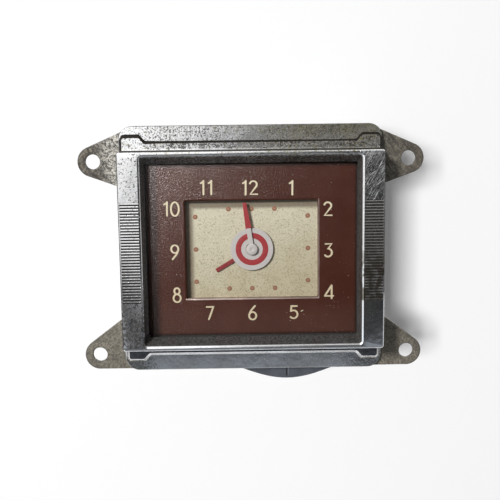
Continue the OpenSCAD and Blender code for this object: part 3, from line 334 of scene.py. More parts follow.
class Sheet(Nodes):
    """One material's nodes, with patterns measured in millimetres."""

    def __init__(self, name: str) -> None:
        """Makes the material.

        Args:
            name: The material's name.
        """
        self.material = bpy.data.materials.new(name)
        self.material.use_nodes = True
        super().__init__(self.material.node_tree)
        where = self.value("ShaderNodeTexCoord", output="Object")
        self.at = self.value("ShaderNodeVectorMath", {"operation": "SCALE"}, {0: where, "Scale": 1 / MM})
        parts = self.node("ShaderNodeSeparateXYZ", sockets={0: self.at})
        self.x = Value(self, parts.outputs[0])
        self.front = -Value(self, parts.outputs[1])
        self.up = Value(self, parts.outputs[2]) - RISE

    def stretched(self, turn: float, scale: Triple) -> Value:
        """Coordinates turned in the face and stretched.

        Args:
            turn: Angle in degrees.
            scale: Factors along the three turned axes.

        Returns:
            The changed coordinates.
        """
        sockets = {"Vector": self.at, "Rotation": (0, math.radians(turn), 0),
                   "Scale": tuple(1 / factor for factor in scale)}
        return self.value("ShaderNodeMapping", {"vector_type": "TEXTURE"}, sockets)

    def noise(self, scale: float, detail: float = 4, rough: float = 0.55, at: Value | None = None) -> Value:
        """Cloudy pattern from 0 to 1, by its features in a millimetre and its finer layers."""
        sockets = {"Vector": at or self.at, "Scale": scale, "Detail": detail, "Roughness": rough}
        return self.value("ShaderNodeTexNoise", None, sockets)

    def spots(self, scale: float, reach: float, share: float) -> Value:
        """Scattered round spots of mixed sizes.

        Args:
            scale: Cells in a millimetre.
            reach: Largest radius as a share of a cell.
            share: Part of the cells that have a spot.

        Returns:
            1 inside a spot and 0 outside.
        """
        cell = self.node("ShaderNodeTexVoronoi", {"feature": "F1"}, {"Vector": self.at, "Scale": scale})
        pick = self.value("ShaderNodeSeparateColor", None, {0: cell.outputs["Color"]})
        size = (pick - (1 - share)) * (reach / share)
        return ((size - Value(self, cell.outputs["Distance"])) * (4 / reach)).held()

    def scratches(self, turn: float, fine: float, share: float) -> Value:
        """Hairlines at an angle in degrees, by their count in a millimetre and their share."""
        lines = self.noise(1.0, 2, 0.5, self.stretched(turn, (0.05, 0.3, fine)))
        return lines.ramp(0.72 - 0.2 * share, 0.78 - 0.2 * share)

    def tint(self, share: "Value | float", first: Any, second: Any) -> bpy.types.NodeSocket:
        """Mix of two colours.

        Args:
            share: Part of the second colour.
            first: Colour or socket.
            second: Colour or socket.

        Returns:
            The mixed colour.
        """
        colours = {}
        for key, colour in ((6, first), (7, second)):
            colours[key] = (*colour, 1) if isinstance(colour, tuple) else colour
        return self.node("ShaderNodeMix", {"data_type": "RGBA"}, {0: share, **colours}).outputs[2]

    def coats(self, ground: Colour, *layers: tuple[Value, Colour]) -> Any:
        """Colours laid over a ground, one after the other.

        Args:
            ground: The colour below.
            layers: Share and colour of each coat.

        Returns:
            The colour on top.
        """
        colour = ground
        for share, coat in layers:
            colour = self.tint(share, colour, coat)
        return colour

    def bump(self, height: Value, depth: float) -> bpy.types.NodeSocket:
        """Normal of a relief from 0 to 1, by its depth in millimetres."""
        sockets = {"Height": height, "Strength": 1.0, "Distance": depth * MM}
        return self.node("ShaderNodeBump", None, sockets).outputs[0]

    def close(self, shader: bpy.types.Node) -> bpy.types.Material:
        """Joins a shader to the output and gives the material."""
        self.node("ShaderNodeOutputMaterial", None, {"Surface": shader.outputs[0]})
        return self.material

    def surface(self, **sockets: Any) -> bpy.types.Material:
        """Joins a principled surface to the output, its inputs with underscores for spaces."""
        named = {key.replace("_", " "): value for key, value in sockets.items()}
        return self.close(self.node("ShaderNodeBsdfPrincipled", None, named))


@dataclass(frozen=True)
class WornChrome:
    """Old plating with black pits and hairlines, dirt and painted shade in the steps and recesses of the
    bezel, and painted dark reflections low down.
    """

    name: str = "worn_chrome"
    plating: Colour = (0.90, 0.905, 0.925)
    dull: Colour = (0.55, 0.54, 0.50)
    stain: Colour = (0.43, 0.39, 0.22)
    grime: Colour = (0.130, 0.115, 0.052)
    dirt: Colour = (0.016, 0.013, 0.010)
    scrape: Colour = (0.62, 0.63, 0.66)
    shade: Colour = (0.075, 0.080, 0.095)
    crust: Colour = (0.105, 0.090, 0.055)
    foot_y: float = 34.7
    lug_rise: float = 2.0
    lug: Pair = (33.4, 35.8)
    lug_r: float = 1.6
    side_x: float = 41.6
    pillar_x: float = 33.5
    pillar_z: Pair = (5, 6)
    rim_y: float = 31.4
    bar_y: float = 29.6
    cove_y: float = 31.9
    step_z: Pair = (2.0, 2.4)
    flange: Pair = (42.15, 39.85)
    flange_r: float = 4.5
    hole: Pair = (34.5, 29.9)
    front: float = 9.6
    low_edge: float = 0.95
    pitch: float = 0.0
    # How far the dark band of each reed is moved onto its underside, as painted shade.
    underside_shade: float = 0.11

    def outside(self, sheet: Sheet, half: tuple[float, "Value | float"], radius: float) -> Value:
        """Distance from a round-cornered outline about the middle of the dial.

        Args:
            sheet: The material's nodes.
            half: Half width and half height of the outline.
            radius: Corner radius.

        Returns:
            Millimetres, less than 0 inside the outline.
        """
        over_x = (abs(sheet.x) - half[0] + radius).most(0.0)
        over_y = (abs(sheet.up) - half[1] + radius).most(0.0)
        squares = over_x * over_x + over_y * over_y
        return squares.sum("SQRT", squares) - radius

    def bar_edge(self, sheet: Sheet) -> Value:
        """Distance from the outline of the stepped bars, less than 0 on the bars."""
        height = self.foot_y + self.lug_rise * abs(sheet.x).ramp(*self.lug)
        return self.outside(sheet, (self.side_x, height), self.lug_r)

    def crevice_dirt_and_shade(self, sheet: Sheet, grain: Value) -> Value:
        """Black along the step of the bars, at the foot of the rim, down the inner bevels, on the outer
        chamfers of the pillars, at the flange's edge and, on reeds, in the grooves and on each reed's
        underside: dirt in these crevices and recesses, partly painted shade.

        Args:
            sheet: The material's nodes.
            grain: Fine cloud that frays the dirt.

        Returns:
            A value from 0 to 1.
        """
        top = sheet.up.ramp(-5, 5)
        ragged = (grain - 0.5) * 0.5
        frayed = grain.ramp(0.4, 0.6)
        reach = 0.34 + 0.2 * (-sheet.x).ramp(27, 36) - 0.08 * sheet.x.ramp(0, 20)
        reach = reach + 0.12 * sheet.x.ramp(30, 36) - 0.2 * (abs(sheet.x) - self.side_x).ramp(-0.6, -0.1)
        # The step line is dark along the upper bars only: dirt with painted shade.
        off_step = abs(self.bar_edge(sheet) + 0.1) + ragged - reach
        step = off_step.fall(0, 0.18) * sheet.front.fall(2.7, 3.0) * (0.05 + 0.95 * top)
        step = step * (abs(sheet.up) - self.rim_y).ramp(-0.4, 0.1)
        foot = abs(sheet.up) - self.rim_y + ragged * 0.3
        rim = foot.fall(0.62, 0.74) * sheet.front.fall(3.6, 3.8)
        rim = rim * (abs(sheet.x) - self.side_x).fall(0, 0.1) * 0.95
        wiped = sheet.x.ramp(0, 5) * (-13.0 - sheet.up).ramp(0, 1.5)
        verge = (abs(sheet.x) - self.side_x + 0.45).ramp(0, 0.15) * sheet.front.ramp(*self.pillar_z)
        verge = verge * (0.8 + 0.18 * frayed) * (1 - wiped)
        border = self.outside(sheet, self.flange, self.flange_r).ramp(-0.3, -0.18)
        border = border * (0.4 + 0.4 * top) * sheet.front.fall(2.0, 2.3)
        # The inner bevels are darkened with dirt and painted shade in the recess; they keep a bright line in
        # front on the right and below.
        inner = (self.hole[0] - abs(sheet.x)).least(self.hole[1] - abs(sheet.up))
        clean = (sheet.x - self.hole[0] + 1.2).ramp(0, 0.5)
        clean = clean.most((3.4 - self.hole[1] - sheet.up).ramp(0, 0.5))
        low = (inner + ragged * 0.7).ramp(-0.42, -0.12) * sheet.front.fall(self.front - 0.5, self.front - 0.1)
        high = (inner - 0.25 * (-sheet.x).ramp(33, 33.5)).ramp(-0.4, -0.12)
        high = high * (0.62 + 0.3 * frayed.most(sheet.x.ramp(-33, -34) * 0.5))
        bevel = high * (1 - clean) + low * clean * (0.92 + 0.06 * frayed)
        dirt = step.most(rim).most(border).most(bevel).most(verge)
        # On reeds the grooves hold dirt, and the dark band of each reed is moved onto its underside as
        # painted shade; more of each reed is dark towards the right and the lower left.
        if self.pitch:
            turns = (sheet.up - self.underside_shade) / (self.pitch / 2) + 1000.0
            wave = turns.sum("PINGPONG", turns, 1.0)
            worn = 0.28 * sheet.x.ramp(-10, 10) + 0.12 * (-sheet.x - sheet.up).ramp(30, 60)
            dirt = dirt.most((wave + worn).ramp(0.3, 0.55) * (0.95 + 0.05 * grain.ramp(0.35, 0.65)))
        return dirt.held()

    def paint(self) -> bpy.types.Material:
        """Builds the material.

        Returns:
            The material.
        """
        sheet = Sheet(self.name)
        cloud = sheet.noise(0.07, 6, 0.6)
        grain = sheet.noise(1.6, 5, 0.7)
        frayed = grain.ramp(0.4, 0.6)
        left = -sheet.x
        on_right = sheet.x.ramp(0, 5)
        right = (sheet.x + (cloud - 0.5) * 50).ramp(-22, 30)
        upper = sheet.up.ramp(-12, 20)
        corner = (left - sheet.up).ramp(34, 62) * (sheet.up + 30.8).ramp(0, 0.2)
        pillar = (abs(sheet.x) - self.pillar_x).ramp(0, 1) * sheet.front.ramp(*self.pillar_z)
        shelf = self.bar_edge(sheet).ramp(1.0, 3.2).most(sheet.front.ramp(*self.step_z))
        shelf = 0.45 + 0.55 * shelf
        # Pits, fewer where the plating is whole and many at the lower left.
        bare = (left - 0.4 * sheet.up).ramp(20, 24) * (1 - pillar) + pillar * left.ramp(38.5, 41)
        bare = bare.most(0.7 * pillar * left.ramp(0, 5) * upper)
        level = 0.588 - 0.06 * sheet.noise(0.25, 5, 0.65).ramp(0.38, 0.6) * upper
        level = level + 0.06 * (1 - upper) + 0.06 * bare
        strip = sheet.front.ramp(2.2, 2.5) * sheet.front.fall(2.7, 3.0)
        whole = (abs(sheet.up) - self.bar_y).ramp(0, 0.2) * sheet.front.ramp(8.8, 9.2) * (1 - pillar)
        cove = abs(abs(sheet.up) - self.cove_y).fall(0.5, 0.7) * sheet.front.ramp(2.58, 2.66)
        whole = whole.most(cove * sheet.front.fall(3.9, 4.1))
        level = level + 0.2 * pillar * right - 0.03 * strip * upper + 0.12 * whole
        pits = ((sheet.noise(1.7, 3, 0.65) - level) * 40).held()
        eaten = ((sheet.noise(1.3, 2, 0.6) - 0.44) * 25).held() * (0.7 + 0.3 * grain.ramp(0.35, 0.55))
        pits = pits.most(eaten * corner * pillar)
        pits = pits.most(sheet.spots(0.8, 0.26, 0.3) * upper * (0.9 - 0.9 * right))
        # Dull film at the upper right, and caked dirt on the right reeds and in the lower corners.
        clouded = 0.08 + 0.9 * right * (0.25 + 0.75 * upper) * (1 - pillar)
        film = ((grain * 0.6 + cloud * 0.7).ramp(0.55, 0.85) * clouded).held()
        mist = sheet.noise(1.9, 3, 0.7).ramp(0.5, 0.62) * upper * (1 - 0.5 * pillar)
        film = film.most(mist * (0.3 + 0.35 * right))
        caked = pillar * on_right * (6.0 - sheet.up).ramp(0, 14) * (sheet.up + 16.0).ramp(0, 0.4)
        foul = (abs(sheet.x) + (grain + cloud - 1) * 14 - 28).ramp(0, 9)
        foul = foul * (-34.5 - sheet.up).ramp(0, 1.5) * sheet.front.fall(2.2, 2.5)
        scab = sheet.noise(1.4, 3, 0.7).ramp(0.5, 0.58) * upper * right * shelf
        crust = (caked * sheet.noise(0.5, 4).ramp(0.38, 0.58)).most(foul * (0.45 + 0.5 * frayed))
        crust = crust.most(scab * (0.6 - 0.6 * pillar))
        # Hairlines on the right pillar above its reeds, and yellow stain on the upper bars.
        hair = sheet.scratches(-62, 5.2, 0.7).most(sheet.scratches(-35, 5.8, 0.6))
        hair = hair.most(grain.ramp(0.5, 0.72) * 0.6) * pillar * on_right * sheet.up.ramp(8, 18)
        hair = (hair * (0.35 + 0.65 * sheet.noise(0.5, 4).ramp(0.4, 0.6))).held()
        stain = sheet.noise(0.8, 5, 0.7).ramp(0.5, 0.68) * upper * (1 - 0.7 * pillar)
        stain = stain + (0.5 - 0.42 * sheet.front.ramp(*self.step_z)) * upper * right
        stain = stain * (0.5 + 0.5 * right) * (1 - 0.6 * pillar) * shelf
        # Painted dark reflection on the face of the lower bar and at the foot of the left pillar, in the
        # shade colour.
        lower_bar_reflection = (-self.low_edge - self.bar_edge(sheet)).ramp(0, 0.12) * (-self.rim_y - sheet.up).ramp(0, 0.1)
        lower_bar_reflection = lower_bar_reflection * sheet.front.ramp(2.45, 2.55) * sheet.front.fall(3.8, 4.0)
        painted_dark_reflection = (lower_bar_reflection * 0.8).most(corner * pillar * 0.62)
        dulled = (cloud.ramp(0.35, 0.75) * 0.4 + (grain - 0.4) * 0.4).held()
        # Black pits, with the crevices' dirt and painted shade, laid in the dirt colour.
        black = (pits * 0.9).most(self.crevice_dirt_and_shade(sheet, grain))
        colour = sheet.coats(self.plating, (dulled, self.dull), (stain, self.stain),
                             (film.held() * 0.8, self.grime), (hair * 0.68, self.scrape),
                             (crust * 0.85, self.crust), (painted_dark_reflection, self.shade), (black, self.dirt))
        metal = (1 - black - 0.6 * hair - 0.3 * film).held()
        rough = (0.08 + 0.08 * cloud + 0.4 * black + 0.25 * film + 0.2 * hair).held()
        relief = 0.6 - pits * (0.5 - 0.35 * corner) + grain * 0.12 + sheet.noise(0.2, 2) * 0.8
        return sheet.surface(Base_Color=colour, Metallic=metal, Roughness=rough, Specular_IOR_Level=0.1,
                             Normal=sheet.bump(relief, 0.06))


@dataclass(frozen=True)
class StainedSteel:
    """Bare plate that has gone grey-brown, with dark flecks and lighter scrapes."""

    name: str = "stained_steel"
    bright: Colour = (0.262, 0.235, 0.184)
    stain: Colour = (0.080, 0.068, 0.050)
    scuffed: Colour = (0.74, 0.71, 0.64)
    rust: Colour = (0.085, 0.060, 0.034)
    fleck: Colour = (0.016, 0.013, 0.010)
    scratch: Colour = (0.7, 0.68, 0.64)
    hole: Pair = (50.8, 31.75)

    def marks(self, sheet: Sheet, grain: Value, upper: Value, left: Value) -> Value:
        """Dark flecks and cracks, with dirt round the holes and the ends of the ears.

        Args:
            sheet: The material's nodes.
            grain: Fine cloud.
            upper: 1 on the upper ears.
            left: 1 on the upper left ear.

        Returns:
            A value from 0 to 1.
        """
        streak = sheet.noise(0.7, 4, 0.6, sheet.stretched(52, (0.18, 1, 1.6)))
        out, over = abs(sheet.x) - self.hole[0], abs(sheet.up + RISE) - self.hole[1]
        spread = out * out + over * over
        ring = (0.7 - 0.7 * spread.ramp(6.0, 8.5)) * (0.3 + 0.7 * out.ramp(2, -2))
        border = (spread.ramp(16.0, 21.5) * out.ramp(-1.5, 0.5)).most(ring)
        cracks = abs(sheet.noise(0.14, 3, 0.6) - 0.47).fall(0.002, 0.009) * upper
        spots = sheet.spots(1.1, 0.4, 0.4) * 0.8 + (grain * 0.6 + streak * 0.5).ramp(0.54, 0.63)
        fine = sheet.noise(1.3, 4, 0.72).ramp(0.5, 0.54) * (0.72 + 0.28 * left)
        mottle = sheet.noise(0.5, 5, 0.7).ramp(0.47, 0.6) * (0.4 + 0.25 * upper)
        marks = (spots * (0.4 + 0.6 * upper)).most(fine).most(mottle)
        return marks.most(cracks * 0.9).most(border * 0.7).held()

    def paint(self) -> bpy.types.Material:
        """Builds the material.

        Returns:
            The material.
        """
        sheet = Sheet(self.name)
        cloud = sheet.noise(0.16, 6, 0.65)
        grain = sheet.noise(1.5, 6, 0.75)
        upper = (sheet.up - 0.25 * sheet.x).ramp(-20, 20)
        left = (-sheet.x).ramp(0, 20) * upper
        marks = self.marks(sheet, grain, upper, left)
        aged = (cloud.ramp(0.32, 0.68) * 0.8 + (grain - 0.5) * 0.5) * (0.55 + 0.45 * upper)
        pale = (abs(sheet.x) - 43.5).fall(0, 8) * left * (0.55 + 0.45 * grain.ramp(0.4, 0.6))
        far = (abs(sheet.x) - 0.5 * sheet.up.most(0.0) - 32).ramp(0, 6) * (left * 0.75).most(upper * 0.3)
        far = far * (0.5 + 0.5 * cloud.ramp(0.4, 0.55))
        lines = sheet.scratches(-50, 3.5, 0.4) * 0.15 * upper
        colour = sheet.coats(self.bright, (aged.held(), self.stain), (pale, self.scuffed), (far, self.rust),
                             (marks * 0.9, self.fleck), (lines, self.scratch))
        return sheet.surface(Base_Color=colour, Metallic=(0.2 - 0.2 * marks).held(),
                             Roughness=(0.42 + 0.2 * grain + 0.2 * marks).held(),
                             Normal=sheet.bump(grain * 0.5 + 0.5 - marks * 0.4, 0.035))


@dataclass(frozen=True)
class MaskPaint:
    """Half-matt red-brown paint with a crinkled skin and dust, dirt and painted shade at its outer edges, and
    a painted highlight on the window's lip.
    """

    name: str = "mask_brown"
    body: Colour = (0.056, 0.0125, 0.0060)
    warm: Colour = (0.072, 0.021, 0.012)
    dust: Colour = (0.42, 0.34, 0.30)
    edge: Colour = (0.010, 0.006, 0.005)
    bare: Colour = (0.60, 0.48, 0.44)
    half: Pair = (33.7, 27.8)
    window: Pair = (21.3, 15.85)
    lip: float = 0.2

    def lip_highlight(self, sheet: Sheet, cloud: Value) -> Value:
        """Painted highlight along the lower and the right edge of the window.

        Args:
            sheet: The material's nodes.
            cloud: Wide cloud that breaks the line.

        Returns:
            A value from 0 to 1.
        """
        off_x = abs(sheet.x) - self.window[0] - self.lip
        off_y = abs(sheet.up) - self.window[1] - self.lip
        low = abs(off_y).fall(0.1, 0.3) * off_x.fall(0.1, 0.3) * (-sheet.up).ramp(0, 5)
        low = low * (0.4 + 0.6 * (-sheet.x).ramp(-18, 10))
        side = abs(off_x).fall(0.1, 0.3) * off_y.fall(0.1, 0.3) * sheet.x.ramp(0, 5) * 0.22
        return low.most(side) * (0.6 + 0.4 * cloud.ramp(0.35, 0.55))

    def paint(self) -> bpy.types.Material:
        """Builds the material.

        Returns:
            The material.
        """
        sheet = Sheet(self.name)
        cloud = sheet.noise(0.09, 5, 0.6)
        grain = sheet.noise(2.6, 4, 0.65)
        near = (self.half[0] - abs(sheet.x)).least(self.half[1] - abs(sheet.up))
        # Darker along the outer edges below the bezel's walls, as dirt with painted shade, and a painted
        # shadow of the left wall over the lower left.
        rim = (near + (grain - 0.5) * 1.0).fall(-0.2, 1.1) * 0.8
        left_wall_shadow = (sheet.x + self.half[0]).fall(1.4, 3.2) * (-sheet.up).ramp(2, 20) * 0.5
        corner = (sheet.x * 0.6 - sheet.up * 0.5).ramp(12, 32)
        drift = sheet.spots(2.4, 0.3, 0.3) * corner * sheet.noise(0.3, 3).ramp(0.5, 0.62)
        dust = sheet.spots(0.9, 0.16, 0.1).most(drift)
        # The edge colour lays the painted shade and shadow; the bare colour lays the painted lip highlight.
        colour = sheet.coats(
            self.body,
            ((cloud.ramp(0.3, 0.7) * 0.8 + (grain - 0.5) * 0.6).held(), self.warm),
            ((-sheet.up).ramp(13, 26) * 0.045, self.dust),
            (rim.most(left_wall_shadow), self.edge),
            (dust.held() * 0.7, self.dust),
            (self.lip_highlight(sheet, cloud), self.bare))
        return sheet.surface(Base_Color=colour, Roughness=(0.21 + 0.08 * grain + 0.3 * dust).held(),
                             Specular_IOR_Level=0.2, Normal=sheet.bump(sheet.noise(3.2, 1, 0.5), 0.07))


@dataclass(frozen=True)
class SpeckledPaint:
    """Flat old paint with fine specks and faint yellowing, darker towards the lower right as painted shade,
    and a painted shadow along the left and top sides of a frame.
    """

    name: str
    body: Colour
    aged: Colour
    speck: Colour = (0.20, 0.17, 0.11)
    share: float = 0.5
    frame: Pair | None = None
    grime: Colour = (0.135, 0.092, 0.058)

    def paint(self) -> bpy.types.Material:
        """Builds the material.

        Returns:
            The material.
        """
        sheet = Sheet(self.name)
        cloud = sheet.noise(0.12, 5, 0.6)
        grain = sheet.noise(2.2, 3, 0.7)
        # Besides random yellowing, the aged colour deepens towards the lower right as painted shade.
        shade = (0.3 * sheet.x - sheet.up).ramp(-22, 24)
        specks = ((grain - 0.575) * 14.0).held().most(sheet.spots(1.0, 0.15, 0.14))
        tone = cloud.ramp(0.3, 0.75) * 0.25 + shade * 0.85 - 0.1 + (grain - 0.5) * 1.2
        colour = sheet.coats(self.body, (tone.held(), self.aged), (specks.held() * self.share, self.speck))
        # Painted shadow of the frame along its left and top sides, in the grime colour.
        if self.frame:
            beside = (sheet.x + self.frame[0]).fall(1.5, 3.1)
            above = (self.frame[1] - sheet.up).fall(1.9, 3.2)
            colour = sheet.tint(beside.most(above) * 0.8, colour, self.grime)
        return sheet.surface(Base_Color=colour, Roughness=(0.5 + 0.2 * grain).held(),
                             Normal=sheet.bump(grain, 0.02))


@dataclass(frozen=True)
class HandEnamel:
    """Thin glossy enamel of a hand, with worn places."""

    name: str
    body: Colour
    worn: Colour
    gloss: float = 0.34

    def paint(self) -> bpy.types.Material:
        """Builds the material.

        Returns:
            The material.
        """
        sheet = Sheet(self.name)
        cloud = sheet.noise(0.5, 5, 0.65)
        grain = sheet.noise(4.0, 4, 0.7)
        share = (cloud.ramp(0.35, 0.8) * 0.6 + (grain - 0.5) * 0.5).held()
        return sheet.surface(Base_Color=sheet.tint(share, self.body, self.worn),
                             Roughness=(self.gloss + 0.2 * cloud).held(), Normal=sheet.bump(grain, 0.012))


@dataclass(frozen=True)
class ToolMetal:
    """Turned, drawn or rolled metal with tool marks, stains and a little corrosion."""

    name: str
    body: Colour
    stain: Colour
    rough: float = 0.3
    marks: float = 0.4
    grain: Triple = (3.0, 3.0, 0.4)
    metal: float = 1.0
    rust: Colour = (0.04, 0.032, 0.025)

    def paint(self) -> bpy.types.Material:
        """Builds the material.

        Returns:
            The material.
        """
        sheet = Sheet(self.name)
        cloud = sheet.noise(0.14, 5, 0.6)
        brushed = sheet.noise(1.4, 4, 0.65, sheet.stretched(0, self.grain))
        spots = (sheet.spots(0.9, 0.32, 0.3) * sheet.noise(0.2, 3).ramp(0.45, 0.62) * self.marks).held()
        share = (cloud.ramp(0.35, 0.75) * 0.7 + (brushed - 0.5) * 0.6).held()
        return sheet.surface(Base_Color=sheet.coats(self.body, (share, self.stain), (spots, self.rust)),
                             Metallic=(self.metal - 0.6 * self.metal * spots).held(),
                             Roughness=(self.rough + 0.22 * brushed + 0.3 * spots).held(),
                             Normal=sheet.bump(brushed * 0.7 - spots * 0.3, 0.02))


@dataclass(frozen=True)
class Moulding:
    """Moulded plastic, fibre or rubber with a fine skin and dust."""

    name: str
    body: Colour
    dust: Colour
    rough: float = 0.45

    def paint(self) -> bpy.types.Material:
        """Builds the material.

        Returns:
            The material.
        """
        sheet = Sheet(self.name)
        cloud = sheet.noise(0.3, 5, 0.6)
        grain = sheet.noise(3.0, 5, 0.7)
        film = (cloud * 0.7 + grain * 0.4).ramp(0.5, 0.85) * 0.35
        return sheet.surface(Base_Color=sheet.tint(film, self.body, self.dust),
                             Roughness=(self.rough + 0.25 * film + 0.1 * grain).held(),
                             Normal=sheet.bump(grain, 0.02))


@dataclass(frozen=True)
class PaneGlass:
    """Clear flat glass that mirrors the room faintly, with a light film of dust."""

    name: str = "pane_glass"
    clearness: float = 1.25
    mirror: Colour = (0.95, 0.97, 0.97)
    body: Colour = (0.985, 0.99, 0.985)

    def paint(self) -> bpy.types.Material:
        """Builds the material.

        Returns:
            The material.
        """
        sheet = Sheet(self.name)
        film = sheet.noise(0.5, 6, 0.7).ramp(0.5, 0.8)
        mirror = sheet.node("ShaderNodeBsdfPrincipled", None, {
            "Base Color": (*self.mirror, 1), "Metallic": 1.0, "Roughness": 0.05 + 0.12 * film})
        clear = sheet.node("ShaderNodeBsdfTransparent", None, {"Color": (*self.body, 1)})
        bend = sheet.value("ShaderNodeFresnel", None, {"IOR": self.clearness})
        back = sheet.value("ShaderNodeNewGeometry", output="Backfacing")
        share = ((bend + 0.006 * film) * (1 - back)).held()
        return sheet.close(sheet.mixed(share, clear, mirror))


class Finish(Enum):
    """Every finish on the clock, painted once."""

    CHROME = WornChrome()
    PLATE = StainedSteel()
    MASK = MaskPaint()
    GLASS = PaneGlass()
    DIAL = SpeckledPaint("dial_cream", (0.66, 0.60, 0.46), (0.41, 0.34, 0.215), share=0.62,
                         frame=(21.3, 15.85))
    NUMERAL = SpeckledPaint("numeral_cream", (0.80, 0.67, 0.48), (0.64, 0.50, 0.33), share=0.12)
    # A dark band round each numeral, laid under its cream coat.
    INK = SpeckledPaint("numeral_edge", (0.022, 0.014, 0.006), (0.034, 0.022, 0.009), share=0.1)
    REED = WornChrome(name="reed_chrome", pitch=0.91)
    DOT_RING = SpeckledPaint("dot_rust", (0.30, 0.115, 0.058), (0.24, 0.10, 0.055), share=0.3)
    DOT_HEART = SpeckledPaint("dot_brown", (0.36, 0.21, 0.135), (0.28, 0.16, 0.10), share=0.3)
    RED = HandEnamel("enamel_red", (0.36, 0.030, 0.036), (0.26, 0.025, 0.028))
    # A darker copy of the red enamel, as painted shade on the hour bar.
    DARK_RED = HandEnamel("enamel_dark_red", (0.24, 0.018, 0.022), (0.30, 0.05, 0.05))
    WHITE = HandEnamel("enamel_white", (0.55, 0.505, 0.495), (0.46, 0.42, 0.40))
    CASE = ToolMetal("case_zinc", (0.27, 0.28, 0.31), (0.16, 0.165, 0.185), 0.28, 0.6, (2.0, 0.5, 2.0))
    COVER = ToolMetal("cover_sheet", (0.42, 0.40, 0.37), (0.24, 0.21, 0.18), 0.38, 0.8, (0.5, 2.0, 3.0))
    BRASS = ToolMetal("turned_brass", (0.60, 0.42, 0.16), (0.40, 0.27, 0.10), 0.26, 0.3)
    STEEL = ToolMetal("turned_steel", (0.56, 0.56, 0.57), (0.36, 0.35, 0.34), 0.24, 0.4)
    SCREW = ToolMetal("screw_metal", (0.44, 0.43, 0.41), (0.26, 0.23, 0.20), 0.34, 0.8)
    BLUE = ToolMetal("spring_blue", (0.10, 0.13, 0.28), (0.16, 0.14, 0.20), 0.22, 0.2)
    IRON = ToolMetal("dark_iron", (0.20, 0.195, 0.19), (0.13, 0.115, 0.10), 0.45, 0.8)
    COPPER = ToolMetal("wound_copper", (0.52, 0.20, 0.09), (0.34, 0.12, 0.05), 0.28, 0.2, (9.0, 0.6, 0.6))
    KNOB = Moulding("knob_black", (0.014, 0.013, 0.012), (0.16, 0.145, 0.12), 0.32)
    FIBRE = Moulding("brown_fibre", (0.075, 0.033, 0.018), (0.18, 0.13, 0.09), 0.5)
    RUBBER = Moulding("black_rubber", (0.016, 0.015, 0.014), (0.09, 0.085, 0.08), 0.7)

    def material(self) -> bpy.types.Material:
        """The finish's material, made at the first call."""
        return bpy.data.materials.get(self.value.name) or self.value.paint()


def settle(piece: bpy.types.Object) -> None:
    """Turns a piece's modifiers into plain mesh.

    Args:
        piece: Object whose evaluated mesh is kept.
    """
    graph = bpy.context.evaluated_depsgraph_get()
    made = bpy.data.meshes.new_from_object(piece.evaluated_get(graph), depsgraph=graph)
    made.name = piece.name
    piece.modifiers.clear()
    piece.data = made


def dress(mesh: bpy.types.Mesh, finish: Finish) -> None:
    """Gives a mesh one finish alone."""
    mesh.materials.clear()
    mesh.materials.append(finish.material())


def add_object(name: str, data: bpy.types.ID) -> bpy.types.Object:
    """Links a new object.

    Args:
        name: The object's name.
        data: Its mesh, lamp or camera.

    Returns:
        The object.
    """
    made = bpy.data.objects.new(name, data)
    bpy.context.scene.collection.objects.link(made)
    return made


def smooth(piece: bpy.types.Object, degrees: float = 38) -> None:
    """Shades flats flat and fillets round.

    Args:
        piece: Object to shade.
        degrees: Angle past which an edge stays sharp.
    """
    piece.data.shade_smooth()
    piece.data.set_sharp_from_angle(angle=math.radians(degrees))
    weigh = piece.modifiers.new("weigh", "WEIGHTED_NORMAL")
    weigh.keep_sharp = True
    weigh.weight = 100
    settle(piece)


